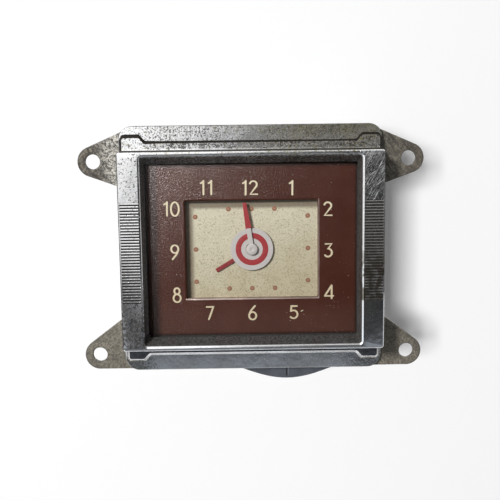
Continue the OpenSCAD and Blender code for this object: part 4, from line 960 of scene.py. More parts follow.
class Solid:
    """A closed mesh in the making, in the face's millimetres."""

    def __init__(self) -> None:
        """Starts with nothing."""
        self.bm = bmesh.new()

    def loop(self, outline: Outline, z: float) -> list[bmesh.types.BMVert]:
        """Points of an outline at one depth."""
        return [self.bm.verts.new((x, y, z)) for x, y in outline]

    def skin(self, loops: Sequence[list[bmesh.types.BMVert]], ring: bool = False) -> None:
        """Joins loops of equal length by quads.

        Args:
            loops: Loops in order.
            ring: Whether the last joins the first.
        """
        pairs = list(zip(loops, loops[1:])) + ([(loops[-1], loops[0])] if ring else [])
        for low, high in pairs:
            for i in range(len(low)):
                self.bm.faces.new((low[i - 1], low[i], high[i], high[i - 1]))

    def cap(self, *loops: list[bmesh.types.BMVert]) -> None:
        """Closes a flat, the first loop outside and the others as holes.

        Args:
            loops: Loops that bound the flat.
        """
        edges = []
        for run in loops:
            for i in range(len(run)):
                ends = (run[i - 1], run[i])
                edges.append(self.bm.edges.get(ends) or self.bm.edges.new(ends))
        bmesh.ops.triangle_fill(self.bm, edges=edges, use_beauty=True, normal=(0, 0, 1))

    def stack(self, outline: Outline, levels: Sequence[Pair]) -> list[list[bmesh.types.BMVert]]:
        """Skins an outline through a run of insets and depths.

        Args:
            outline: The outline at no inset.
            levels: Inset and depth of each loop.

        Returns:
            The loops.
        """
        loops = [self.loop(inset(outline, depth), z) for depth, z in levels]
        self.skin(loops)
        return loops

    def plate(self, outer: Outline, z0: float, z1: float, edge: float,
              holes: Sequence[Outline] = (), both: bool = True, steps: int = 3) -> "Solid":
        """A flat plate with rounded edges.

        Args:
            outer: Outline of the plate.
            z0: Depth of its back.
            z1: Depth of its front.
            edge: Radius of its edges.
            holes: Outlines of its holes.
            both: Whether the back edges are rounded too.
            steps: Facets of an edge.

        Returns:
            The mesh itself.
        """
        rounding = fillet(edge, [k / steps for k in range(steps + 1)])
        backs = [(drop, z0 + depth) for depth, drop in rounding] if both else [(0, z0)]
        fronts = [(depth, z1 - drop) for depth, drop in rounding]
        ends = []
        for way, outline in [(1, outer)] + [(-1, hole) for hole in holes]:
            loops = self.stack(outline, [(way * depth, z) for depth, z in backs + fronts])
            ends.append((loops[0], loops[-1]))
        self.cap(*[end[0] for end in ends])
        self.cap(*[end[1] for end in ends])
        return self

    def lathe(self, profile: Outline, centre: Pair = (0, 0), steps: int = 48) -> "Solid":
        """A turned form about an axis out of the face, closed at both ends.

        Args:
            profile: Radius and depth of each loop, back to front.
            centre: Place of the axis.
            steps: Facets round it.

        Returns:
            The mesh itself.
        """
        loops = [self.loop(circle(r, steps, centre), z) for r, z in profile]
        self.skin(loops)
        self.cap(loops[0])
        self.cap(loops[-1])
        return self

    def done(self, name: str, finish: Finish, sharp: float = 38) -> bpy.types.Object:
        """Closes the mesh and stands it in the frame.

        Args:
            name: The piece's name.
            finish: Its finish.
            sharp: Angle past which an edge stays sharp.

        Returns:
            The finished piece.
        """
        bmesh.ops.remove_doubles(self.bm, verts=self.bm.verts, dist=1e-4)
        bmesh.ops.recalc_face_normals(self.bm, faces=self.bm.faces)
        self.bm.transform(FACE)
        mesh = bpy.data.meshes.new(name)
        self.bm.to_mesh(mesh)
        self.bm.free()
        piece = add_object(name, mesh)
        mesh.materials.append(finish.material())
        smooth(piece, sharp)
        return piece


class Pattern(Nodes):
    """A geometry tree with named sizes that repeats a form at given points."""

    KINDS = {"float": "NodeSocketFloat", "int": "NodeSocketInt", "object": "NodeSocketObject",
             "material": "NodeSocketMaterial"}

    def __init__(self, name: str, **inlets: str) -> None:
        """Makes the tree.

        Args:
            name: The tree's name.
            inlets: Named inputs and their kinds.
        """
        super().__init__(bpy.data.node_groups.new(name, "GeometryNodeTree"))
        self.name = name
        face = self.tree.interface
        face.new_socket("Geometry", in_out="INPUT", socket_type="NodeSocketGeometry")
        face.new_socket("Geometry", in_out="OUTPUT", socket_type="NodeSocketGeometry")
        self.keys = {}
        for key, kind in {**inlets, "finish": "material"}.items():
            made = face.new_socket(key, in_out="INPUT", socket_type=self.KINDS[kind])
            self.keys[key] = made.identifier
        self.entry = self.node("NodeGroupInput")

    def size(self, key: str) -> Value:
        """One of the named inputs."""
        return Value(self, self.entry.outputs[key])

    def vector(self, x: Any = 0.0, y: Any = 0.0, z: Any = 0.0) -> Value:
        """Three values as one vector."""
        return self.value("ShaderNodeCombineXYZ", None, {0: x, 1: y, 2: z})

    def moved(self, form: Value, turn: Triple = (0, 0, 0), scale: Any = (1, 1, 1)) -> Value:
        """A form turned and scaled.

        Args:
            form: Geometry to change.
            turn: Angles in degrees.
            scale: Factors or a vector socket.

        Returns:
            The changed geometry.
        """
        angles = tuple(math.radians(a) for a in turn)
        sockets = {"Geometry": form, "Rotation": angles, "Scale": scale}
        return self.value("GeometryNodeTransform", None, sockets)

    def repeated(self, points: Any, form: Value, rotation: Any = None) -> Value:
        """A form at each point, made real.

        Args:
            points: Geometry with the points.
            form: Geometry to repeat.
            rotation: Rotation of each copy, or None.

        Returns:
            Plain geometry.
        """
        sockets = {"Points": points, "Instance": form}
        if rotation is not None:
            sockets["Rotation"] = rotation
        many = self.value("GeometryNodeInstanceOnPoints", None, sockets)
        return self.value("GeometryNodeRealizeInstances", None, {0: many})

    def close(self, form: Value, even: bool = True) -> None:
        """Ends the tree in a shaded, dressed form.

        Args:
            form: Geometry to give out.
            even: Whether it is shaded smooth.
        """
        shaded = self.value("GeometryNodeSetShadeSmooth", None, {"Geometry": form, "Shade Smooth": even})
        real = self.value("GeometryNodeRealizeInstances", None, {0: shaded})
        dressed = self.value("GeometryNodeSetMaterial", None,
                             {"Geometry": real, "Material": self.size("finish")})
        self.node("NodeGroupOutput", None, {0: dressed})

    def grow(self, name: str, places: Sequence[Triple], finish: Finish, **sizes: Any) -> bpy.types.Object:
        """Runs the tree on points of the face.

        Args:
            name: The piece's name.
            places: Points in the face's millimetres.
            finish: Finish of the copies.
            sizes: Named inputs, lengths in millimetres.

        Returns:
            A plain mesh object.
        """
        mesh = bpy.data.meshes.new(name)
        mesh.from_pydata([FACE @ Vector(place) for place in places], [], [])
        piece = add_object(name, mesh)
        step = piece.modifiers.new(self.name, "NODES")
        step.node_group = self.tree
        for key, value in {**sizes, "finish": finish.material()}.items():
            step[self.keys[key]] = value * MM if isinstance(value, float) else value
        settle(piece)
        return piece


def reed_pattern() -> Pattern:
    """Stacks of half-round reeds, one stack at each point.

    Returns:
        The tree.
    """
    tree = Pattern("reeds", count="int", pitch="float", length="float", width="float", height="float")
    bar = tree.value("GeometryNodeMeshCylinder", None, {
        "Vertices": 20, "Radius": 1.0, "Depth": tree.size("length")})
    shape = tree.vector(tree.size("width") * 0.5, tree.size("height"), 1.0)
    reed = tree.moved(bar, (0, 90, 0), shape)
    low = (1 - tree.size("count")) * tree.size("pitch") * 0.5
    line = tree.value("GeometryNodeMeshLine", {"mode": "OFFSET"}, {
        "Count": tree.size("count"), "Start Location": tree.vector(z=low),
        "Offset": tree.vector(z=tree.size("pitch"))})
    tree.close(tree.repeated(tree.size("Geometry"), tree.repeated(line, reed)))
    return tree


def dot_pattern() -> Pattern:
    """Low round drops of paint at points.

    Returns:
        The tree.
    """
    tree = Pattern("dots", radius="float", height="float")
    ball = tree.value("GeometryNodeMeshUVSphere", None, {"Segments": 24, "Rings": 12, "Radius": 1.0})
    shape = tree.vector(tree.size("radius"), tree.size("height"), tree.size("radius"))
    tree.close(tree.repeated(tree.size("Geometry"), tree.moved(ball, scale=shape)))
    return tree


def screw_pattern() -> Pattern:
    """A given screw at each point, its slot turned by a fixed draw.

    Returns:
        The tree.
    """
    tree = Pattern("screws", screw="object", seed="int")
    form = tree.value("GeometryNodeObjectInfo", None, {"Object": tree.size("screw")}, "Geometry")
    draw = tree.value("FunctionNodeRandomValue", {"data_type": "FLOAT"},
                      {2: 0.0, 3: math.pi, "Seed": tree.size("seed")}, 1)
    tree.close(tree.repeated(tree.size("Geometry"), form, tree.vector(y=draw)), even=False)
    return tree


def ridge_pattern() -> Pattern:
    """Round grip ridges about each point.

    Returns:
        The tree.
    """
    tree = Pattern("ridges", count="int", orbit="float", radius="float", length="float")
    ring = tree.value("GeometryNodeMeshCircle", None, {
        "Vertices": tree.size("count"), "Radius": tree.size("orbit")})
    bar = tree.value("GeometryNodeMeshCylinder", None, {
        "Vertices": 12, "Radius": tree.size("radius"), "Depth": tree.size("length")})
    ridges = tree.moved(tree.repeated(ring, bar), (90, 0, 0))
    tree.close(tree.repeated(tree.size("Geometry"), ridges))
    return tree


def thread_pattern() -> Pattern:
    """A screw thread as a wire wound along each axis.

    Returns:
        The tree.
    """
    tree = Pattern("thread", turns="int", radius="float", length="float", wire="float")
    path = tree.value("GeometryNodeCurveSpiral", None, {
        "Resolution": 28, "Rotations": tree.size("turns"), "Start Radius": tree.size("radius"),
        "End Radius": tree.size("radius"), "Height": tree.size("length")})
    wire = tree.value("GeometryNodeCurvePrimitiveCircle", None, {
        "Resolution": 6, "Radius": tree.size("wire")})
    tube = tree.value("GeometryNodeCurveToMesh", None, {
        "Curve": path, "Profile Curve": wire, "Fill Caps": True})
    tree.close(tree.repeated(tree.size("Geometry"), tree.moved(tube, (-90, 0, 0))))
    return tree


def mount(piece: bpy.types.Object, body: Body, slot: str | None = None, *nodes: str) -> None:
    """Sets a piece on its body and reports it.

    Args:
        piece: The finished piece.
        body: Group that it moves with.
        slot: Record slot of its finish, or None; not used.
        nodes: CAD nodes that it stands for.
    """
    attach(piece, body.value)
    if nodes:
        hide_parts(*nodes)
    log.info("%s rides on %s: %d faces", piece.name, body.value, len(piece.data.polygons))


@dataclass
class Bezel:
    """Cast frame with its stepped bars, reeded pillars and flat glass."""

    rim: Pair = (83.2, 62.8)
    rim_r: float = 1.0
    rim_edge: float = 0.55
    opening: Pair = (69.0, 59.8)
    opening_r: float = 0.9
    lip: Pair = (67.4, 55.6)
    lip_r: float = 0.6
    lip_z: float = 5.1
    pocket: Pair = (70.6, 58.8)
    pocket_r: float = 0.4
    front: float = 9.6
    flange: Pair = (84.3, 79.7)
    flange_r: float = 4.5
    flange_t: float = 1.2
    shoulder_z: float = 2.6
    shoulder_y: float = 34.7
    lug_w: float = 5.8
    lug_rise: float = 2.0
    lug_slope: float = 2.4
    lug_r: float = 1.6
    reeds: int = 35
    reed_pitch: float = 0.91
    reed_in: float = 0.7
    reed_depth: float = 0.3
    edge: float = 0.28
    bar_edge: float = 0.42
    low_edge: float = 0.95
    cove_r: float = 1.1
    inner_r: float = 0.7
    pane_edge: float = 0.12

    def casting(self) -> bpy.types.Object:
        """The flange, rim, inner bevels and glass pocket as one closed skin.

        Returns:
            The casting.
        """
        form = Solid()
        pocket = round_rect(*self.pocket, self.pocket_r, 8)
        root = form.loop(pocket, 0)
        flange = round_rect(*self.flange, self.flange_r, 8)
        rim = round_rect(*self.rim, self.rim_r, 8)
        loops = [root, form.loop(flange, 0)]
        loops += [form.loop(inset(flange, depth), self.flange_t - drop) for depth, drop in fillet(self.edge)]
        loops.append(form.loop(rim, self.flange_t))
        slant = fillet(self.rim_edge, (0, 0.36, 0.64, 1))
        loops += [form.loop(inset(rim, depth), self.front - drop) for depth, drop in slant]
        form.skin(loops)
        hole, lip = round_rect(*self.opening, self.opening_r, 8), round_rect(*self.lip, self.lip_r, 8)
        inner = []
        for depth, drop in fillet(self.inner_r):
            t = depth / (self.front - self.lip_z)
            wall = [(p[0] + (q[0] - p[0]) * t, p[1] + (q[1] - p[1]) * t) for p, q in zip(hole, lip)]
            inner.append(form.loop(inset(wall, -drop), self.front - depth))
        inner += [form.loop(inset(lip, -0.06), self.lip_z + 0.15), form.loop(lip, self.lip_z),
                  form.loop(pocket, self.lip_z), root]
        form.skin(inner)
        wells = []
        for side in (-1, 1):
            well = form.stack(self.well(side), [(0, self.front), (0.05, self.front - self.reed_depth)])
            form.cap(well[1])
            wells.append(well[0])
        form.cap(loops[-1], inner[0], *wells)
        return form.done("bezel_casting", Finish.CHROME)

    def reed_span(self) -> Pair:
        """Size and place of the reeds on the right pillar.

        Returns:
            Their middle and their length.
        """
        low = self.opening[0] / 2 + self.reed_in
        high = self.rim[0] / 2 - self.rim_edge - 0.02
        return (low + high) / 2, high - low

    def well(self, side: int) -> Outline:
        """Outline of the shallow bed that the reeds of one pillar lie in."""
        middle, length = self.reed_span()
        return shifted(round_rect(length, self.reeds * self.reed_pitch, 0.1, 2), (side * middle, 0))

    def shoulders(self) -> bpy.types.Object:
        """The stepped bars above and below the rim, with their corner lugs.

        Returns:
            Both bars as one piece.
        """
        form = Solid()
        half, top = self.rim[0] / 2, self.shoulder_y + self.lug_rise
        corner = arc((half - self.lug_r, top - self.lug_r), (self.lug_r, self.lug_r), 0, 90, 8)
        right = [(half, self.rim[1] / 2 - 0.3), *corner]
        for k in range(11):
            u = 1 - k / 10
            right.append((half - self.lug_w - self.lug_slope * (1 - u),
                          self.shoulder_y + self.lug_rise * u * u * (3 - 2 * u)))
        bar = right + [(-x, y) for x, y in reversed(right)]
        back = self.flange_t - 0.05
        low_bar = [(x, -y) for x, y in reversed(bar)]
        form.plate(bar, back, self.shoulder_z, self.bar_edge, both=False, steps=1)
        form.plate(low_bar, back, self.shoulder_z, self.low_edge, both=False, steps=1)
        self.coves(form)
        return form.done("bezel_shoulders", Finish.CHROME)

    def coves(self, form: Solid) -> None:
        """Hollow fillets where the bars meet the rim.

        Args:
            form: Mesh that takes them.
        """
        rim_y, end, r, z = self.rim[1] / 2, self.rim[0] / 2 - 0.05, self.cove_r, self.shoulder_z
        section = [(rim_y - 0.3, z + r), (rim_y - 0.3, z - 0.3), (rim_y + r, z - 0.3)]
        section += arc((rim_y + r, z + r), (r, r), 270, 180, 8)
        for side in (-1, 1):
            ends = [[form.bm.verts.new((x, side * y, depth)) for y, depth in section] for x in (-end, end)]
            form.skin(ends)
            for run in ends:
                form.bm.faces.new(run)

    def pillar_reeds(self) -> bpy.types.Object:
        """The rows of reeds in the two pillars.

        Returns:
            All reeds as one mesh.
        """
        middle, length = self.reed_span()
        bed = self.front - self.reed_depth
        piece = reed_pattern().grow(
            "bezel_reeds", [(-middle, 0, bed), (middle, 0, bed)], Finish.REED, count=self.reeds,
            pitch=self.reed_pitch, length=length - 0.04, width=self.reed_pitch * 1.02,
            height=self.reed_depth - 0.16)
        smooth(piece, 40)
        return piece

    def pane(self) -> bpy.types.Object:
        """The flat glass with ground edges.

        Returns:
            The pane.
        """
        low, high = face_box("lens_glass")
        outline = round_rect(high.x - low.x, high.y - low.y, self.pocket_r, 4)
        return Solid().plate(outline, low.z, high.z, self.pane_edge).done("glass_pane", Finish.GLASS)

    def build(self) -> None:
        """Builds and mounts the bezel's pieces."""
        mount(self.casting(), Body.CASE, "bezel_chrome", "bezel")
        mount(self.shoulders(), Body.CASE, "bezel_chrome")
        mount(self.pillar_reeds(), Body.CASE, "bezel_chrome")
        mount(self.pane(), Body.CASE, "clear_glass", "lens_glass")


@dataclass
class DialFace:
    """Brown mask with its numerals, over the cream dial with its dots."""

    window: Pair = (42.6, 31.7)
    window_r: float = 0.5
    lip_r: float = 0.45
    sheet_t: float = 0.6
    stroke: float = 0.59
    paint_t: float = 0.05
    outline_w: float = 0.14
    layer_t: float = 0.004
    dot: Pair = (0.78, 0.04)
    heart: Pair = (0.42, 0.06)
    dab_thin: float = 0.12
    dab: Outline = field(default_factory=lambda: [(15.75, -20.42), (16.3, -20.15)])
    pairs: dict[str, Pair] = field(default_factory=lambda: {
        "10": (-1.45, 1.2), "11": (-1.25, 1.25), "12": (-1.5, 1.15)})
    dots: Outline = field(default_factory=lambda: [
        *((i * 18.2, j * 10.6) for i in (-1, 1) for j in (-1, 0, 1)),
        *((i * 7.44, j * 13.0) for i in (-1, 0, 1) for j in (-1, 1))])
    places: dict[str, Pair] = field(default_factory=lambda: {
        "12": (-0.4, 19.8), "11": (-14.1, 20.0), "1": (13.0, 19.6), "10": (-25.7, 13.4), "2": (24.5, 12.75),
        "9": (-24.8, -0.4), "3": (24.7, -0.5), "8": (-24.5, -14.5), "4": (24.85, -14.2), "7": (-13.9, -20.6),
        "6": (-0.1, -20.8), "5": (13.4, -20.7)})

    def digit(self, name: str) -> list[Outline]:
        """Centre lines of one digit, about 5 mm high, round its middle.

        Args:
            name: The digit.

        Returns:
            Its strokes.
        """
        six = [[(0.82, 2.35), (-0.2, 1.15), (-0.75, 0.35), (-1.08, -0.55)],
               arc((0.05, -0.92), (1.15, 1.25), 90, 450, 30)]
        return {
            "0": [arc((0, 0), (1.25, 2.2), 90, 450, 34)],
            "1": [[(-0.72, 1.52), (-0.1, 1.86), (0.2, 2.25)], [(0.16, 2.22), (0.1, -2.05)]],
            "2": [arc((-0.08, 1.08), (1.12, 1.1), 160, -28, 16) + [(-1.08, -1.98), (1.22, -2.0)]],
            "3": [[(-1.0, 2.02), (0.98, 2.02), (-0.12, 0.5)]
                  + arc((-0.18, -0.82), (1.25, 1.3), 80, -140, 18)],
            "4": [[(0.85, -2.08), (0.85, 2.12)], [(0.8, 2.12), (-1.32, -1.22)], [(-1.4, -1.3), (1.42, -1.3)]],
            "5": [[(1.02, 2.0), (-0.8, 2.0), (-0.95, 0.42)]
                  + arc((-0.12, -0.72), (1.28, 1.32), 122, -138, 20)],
            "6": six,
            "7": [[(-1.12, 2.02), (1.08, 2.02), (-0.42, -2.05)]],
            "8": [arc((0, 1.28), (0.86, 0.98), -90, 270, 26), arc((0, -1.06), (1.16, 1.3), 90, 450, 28)],
            "9": [[(-x, -y) for x, y in line] for line in six],
        }[name]

    def ribbon(self, form: Solid, line: Outline, z: float, spread: float) -> None:
        """A flat painted stroke along a centre line, thinner where it runs level.

        Args:
            form: Mesh that takes it.
            line: Centre line.
            z: Depth of the surface below it.
            spread: Width added on each side.
        """
        ways = []
        ring = math.dist(line[0], line[-1]) < 0.01
        last = len(line) - 1
        for i in range(len(line)):
            before = line[i - 1] if i else (line[last - 1] if ring else None)
            after = line[i + 1] if i < last else (line[1] if ring else None)
            one = (Vector(line[i]) - Vector(before)).normalized() if before else None
            two = (Vector(after) - Vector(line[i])).normalized() if after else None
            one, two = one or two, two or one
            half = self.stroke / 2 * (0.78 + 0.22 * max(abs(one.y), abs(two.y))) + spread
            across = Vector((-one.y - two.y, one.x + two.x))
            ways.append(across * (half / max(0.75, 1 + one.dot(two))))
        left = [(p[0] + w.x, p[1] + w.y) for p, w in zip(line, ways)]
        right = [(p[0] - w.x, p[1] - w.y) for p, w in zip(line, ways)]
        top = z + self.paint_t
        if ring:
            runs = ((left, z), (right, z), (right, top), (left, top))
            form.skin([form.loop(run[:-1], depth) for run, depth in runs], ring=True)
            return
        ends = []
        for tip, way in ((line[-1], -ways[-1]), (line[0], ways[0])):
            lean = math.degrees(math.atan2(way.y, way.x))
            ends.append(arc(tip, (way.length, way.length), lean, lean + 180, 8)[1:-1])
        loops = form.stack(right + ends[0] + left[::-1] + ends[1], [(0, z), (0, top)])
        form.cap(loops[0])
        form.cap(loops[1])

    def mask(self) -> bpy.types.Object:
        """The pressed pan with its rolled window edge.

        Returns:
            The mask.
        """
        low, high = face_box("dial_mask")
        form = Solid()
        out = round_rect(high.x - low.x, high.y - low.y, 0.5, 6)
        gap = round_rect(*self.window, self.window_r, 6)
        r, t = self.lip_r, self.sheet_t
        levels = [(out, 0, low.z), (out, 0, high.z - 0.2), (out, 0.2, high.z), (gap, -r - 0.3, high.z)]
        levels += [(gap, -drop, high.z - depth) for depth, drop in fillet(r)]
        levels += [(gap, 0, low.z), (gap, -t, low.z), (gap, -t, high.z - t), (out, t, high.z - t),
                   (out, t, low.z)]
        form.skin([form.loop(inset(outline, depth), z) for outline, depth, z in levels], ring=True)
        return form.done("mask_pan", Finish.MASK)

    def numerals(self, name: str, finish: Finish, lift: float, spread: float) -> bpy.types.Object:
        """The twelve hour numbers and a stray dab beside them, in one coat of paint.

        Args:
            name: Name of the piece.
            finish: Its paint.
            lift: Height of the coat's underside above the mask.
            spread: Width added round the strokes.

        Returns:
            All numbers as one mesh.
        """
        form = Solid()
        z = face_box("dial_mask")[1].z + lift
        for text, place in self.places.items():
            steps = [0.0] if len(text) == 1 else self.pairs[text]
            for mark, step in zip(text, steps):
                for level, line in enumerate(self.digit(mark)):
                    at = (place[0] + step, place[1])
                    self.ribbon(form, shifted(line, at), z + self.layer_t * level, spread)
        self.ribbon(form, self.dab, z, spread - self.dab_thin)
        return form.done(name, finish)

    def build(self) -> None:
        """Builds and mounts the face's pieces."""
        mount(self.mask(), Body.CASE, "mask_paint", "dial_mask")
        mount(self.numerals("numeral_edges", Finish.INK, -0.02, self.outline_w), Body.CASE, "mask_paint")
        mount(self.numerals("dial_numerals", Finish.NUMERAL, 0.01, 0.0), Body.CASE, "dial_paint")
        z = face_box("dial_plate")[1].z
        tree = dot_pattern()
        spots = [(x, y, z) for x, y in self.dots]
        for name, finish, size in (("dial_dots", Finish.DOT_RING, self.dot),
                                   ("dial_dot_hearts", Finish.DOT_HEART, self.heart)):
            mount(tree.grow(name, spots, finish, radius=size[0], height=size[1]), Body.CASE, "hand_red")


@dataclass
class Hands:
    """Red hands on a pale disc with a red ring."""

    hour_angle: float = 239.2
    minute_angle: float = 351.4
    disc_r: float = 6.9
    disc_bore: float = 1.72
    ring: Pair = (3.5, 5.3)
    hour_w: float = 1.3
    hour_start: float = 2.1
    hour_reach: float = 13.6
    minute_root: float = 1.5
    root_start: float = 1.3
    minute_base: float = 1.9
    minute_tip: float = 1.2
    minute_reach: float = 15.3
    cap_r: float = 1.85
    edge: float = 0.07

    def strip(self, base: Pair, tip: Pair, degrees: float) -> Outline:
        """Outline of a straight hand, by half width and distance at its base and at its tip."""
        corners = [(-base[0], base[1]), base, tip, (-tip[0], tip[1])]
        return turned(corners, degrees)

    def hour(self) -> None:
        """The disc, its painted ring and the bar below it."""
        low, high = face_box("hour_disc")
        disc = Solid().plate(circle(self.disc_r, 96), low.z, high.z, self.edge, [circle(self.disc_bore, 48)])
        mount(disc.done("hour_disc_face", Finish.WHITE), Body.HOUR, "hand_white", "hour_disc")
        inner, outer = (circle(radius, 96) for radius in self.ring)
        ring = Solid().plate(outer, high.z - 0.01, high.z + 0.03, 0.01, [inner])
        mount(ring.done("hour_disc_ring", Finish.RED), Body.HOUR, "hand_red")
        low, high = face_box("hour_bar")
        half = self.hour_w / 2
        outline = self.strip((half, self.hour_start), (half, self.hour_reach), self.hour_angle)
        bar = Solid().plate(outline, low.z, high.z - 0.01, self.edge)
        # The bar takes the darker copy of the red enamel, as painted shade.
        mount(bar.done("hour_bar_strip", Finish.DARK_RED), Body.HOUR, "hand_red", "hour_bar")

    def minute(self) -> None:
        """The tapered blade, its white root and the turned cap."""
        low, high = face_box("minute_hand")
        base, tip, half = self.minute_base / 2, self.minute_tip / 2, self.minute_root / 2
        outline = self.strip((base, self.disc_r - 0.2), (tip, self.minute_reach), self.minute_angle)
        blade = Solid().plate(outline, low.z, high.z, self.edge)
        mount(blade.done("minute_blade", Finish.RED), Body.MINUTE, "hand_red", "minute_hand")
        outline = self.strip((half, self.root_start), (half, self.disc_r), self.minute_angle)
        root = Solid().plate(outline, low.z, high.z + 0.01, self.edge)
        mount(root.done("minute_root", Finish.WHITE), Body.MINUTE, "hand_white")
        low, high = face_box("hand_cap")
        r, top = self.cap_r, high.z
        profile = [(r - 0.06, low.z), (r, low.z + 0.06), (r, low.z + 0.14), (r - 0.1, top - 0.1),
                   (r - 0.4, top - 0.02), (0.7, top), (0.62, top - 0.06), (0.1, top - 0.06)]
        cap = Solid().lathe(profile, steps=64)
        mount(cap.done("hand_cap_turned", Finish.WHITE), Body.MINUTE, "hand_white", "hand_cap")

    def build(self) -> None:
        """Builds and mounts both hands."""
        self.hour()
        self.minute()


@dataclass(frozen=True)
class ScrewSize:
    """Sizes of a slotted screw's head, shank and slot, and the draw of the slots' angles."""

    head_r: float
    head: float
    shank: float
    slot: float
    seed: int


def slotted_screw(name: str, size: ScrewSize, length: float) -> bpy.types.Object:
    """A cheese-head screw with a milled slot, its head on y above zero and its shank behind.

    Args:
        name: Name of the template.
        size: Sizes of the screw.
        length: Length of the shank.

    Returns:
        Template object, head towards plus y of the frame.
    """
    form = Solid()
    radius, head = size.head_r, size.head
    half, top = size.slot / 2, length + head
    cut, edge = 0.42 * head, radius * 0.86
    profile = [(size.shank, 0), (size.shank, length), (radius, length), (radius, length + head * 0.7),
               (radius * 0.96, length + head * 0.88), (edge, top)]
    loops = [form.loop(circle(r, 48), z) for r, z in profile]
    form.skin(loops)
    form.cap(loops[0])
    rim = loops[-1]
    sides = [[v for v in rim if v.co.y > half], [v for v in rim if v.co.y < -half]]
    for vert in rim:
        if abs(vert.co.y) <= half:
            vert.co.z = top - cut
    reach = math.sqrt(edge * edge - half * half)
    for way, run in ((1, sides[0]), (-1, sides[1])):
        run = sorted(run, key=lambda v: -way * v.co.x)
        foot = [form.bm.verts.new((x, way * half, top)) for x in (way * reach, -way * reach)]
        deep = [form.bm.verts.new((x, way * half, top - cut)) for x in (way * reach, -way * reach)]
        form.bm.faces.new(run + foot)
        form.bm.faces.new((foot[0], foot[1], deep[1], deep[0]))
    bmesh.ops.holes_fill(form.bm, edges=form.bm.edges, sides=0)
    bmesh.ops.recalc_face_normals(form.bm, faces=form.bm.faces)
    form.bm.transform(Matrix.Rotation(-math.pi / 2, 4, "X") @ Matrix.Scale(MM, 4))
    mesh = bpy.data.meshes.new(name)
    form.bm.to_mesh(mesh)
    form.bm.free()
    return add_object(name, mesh)


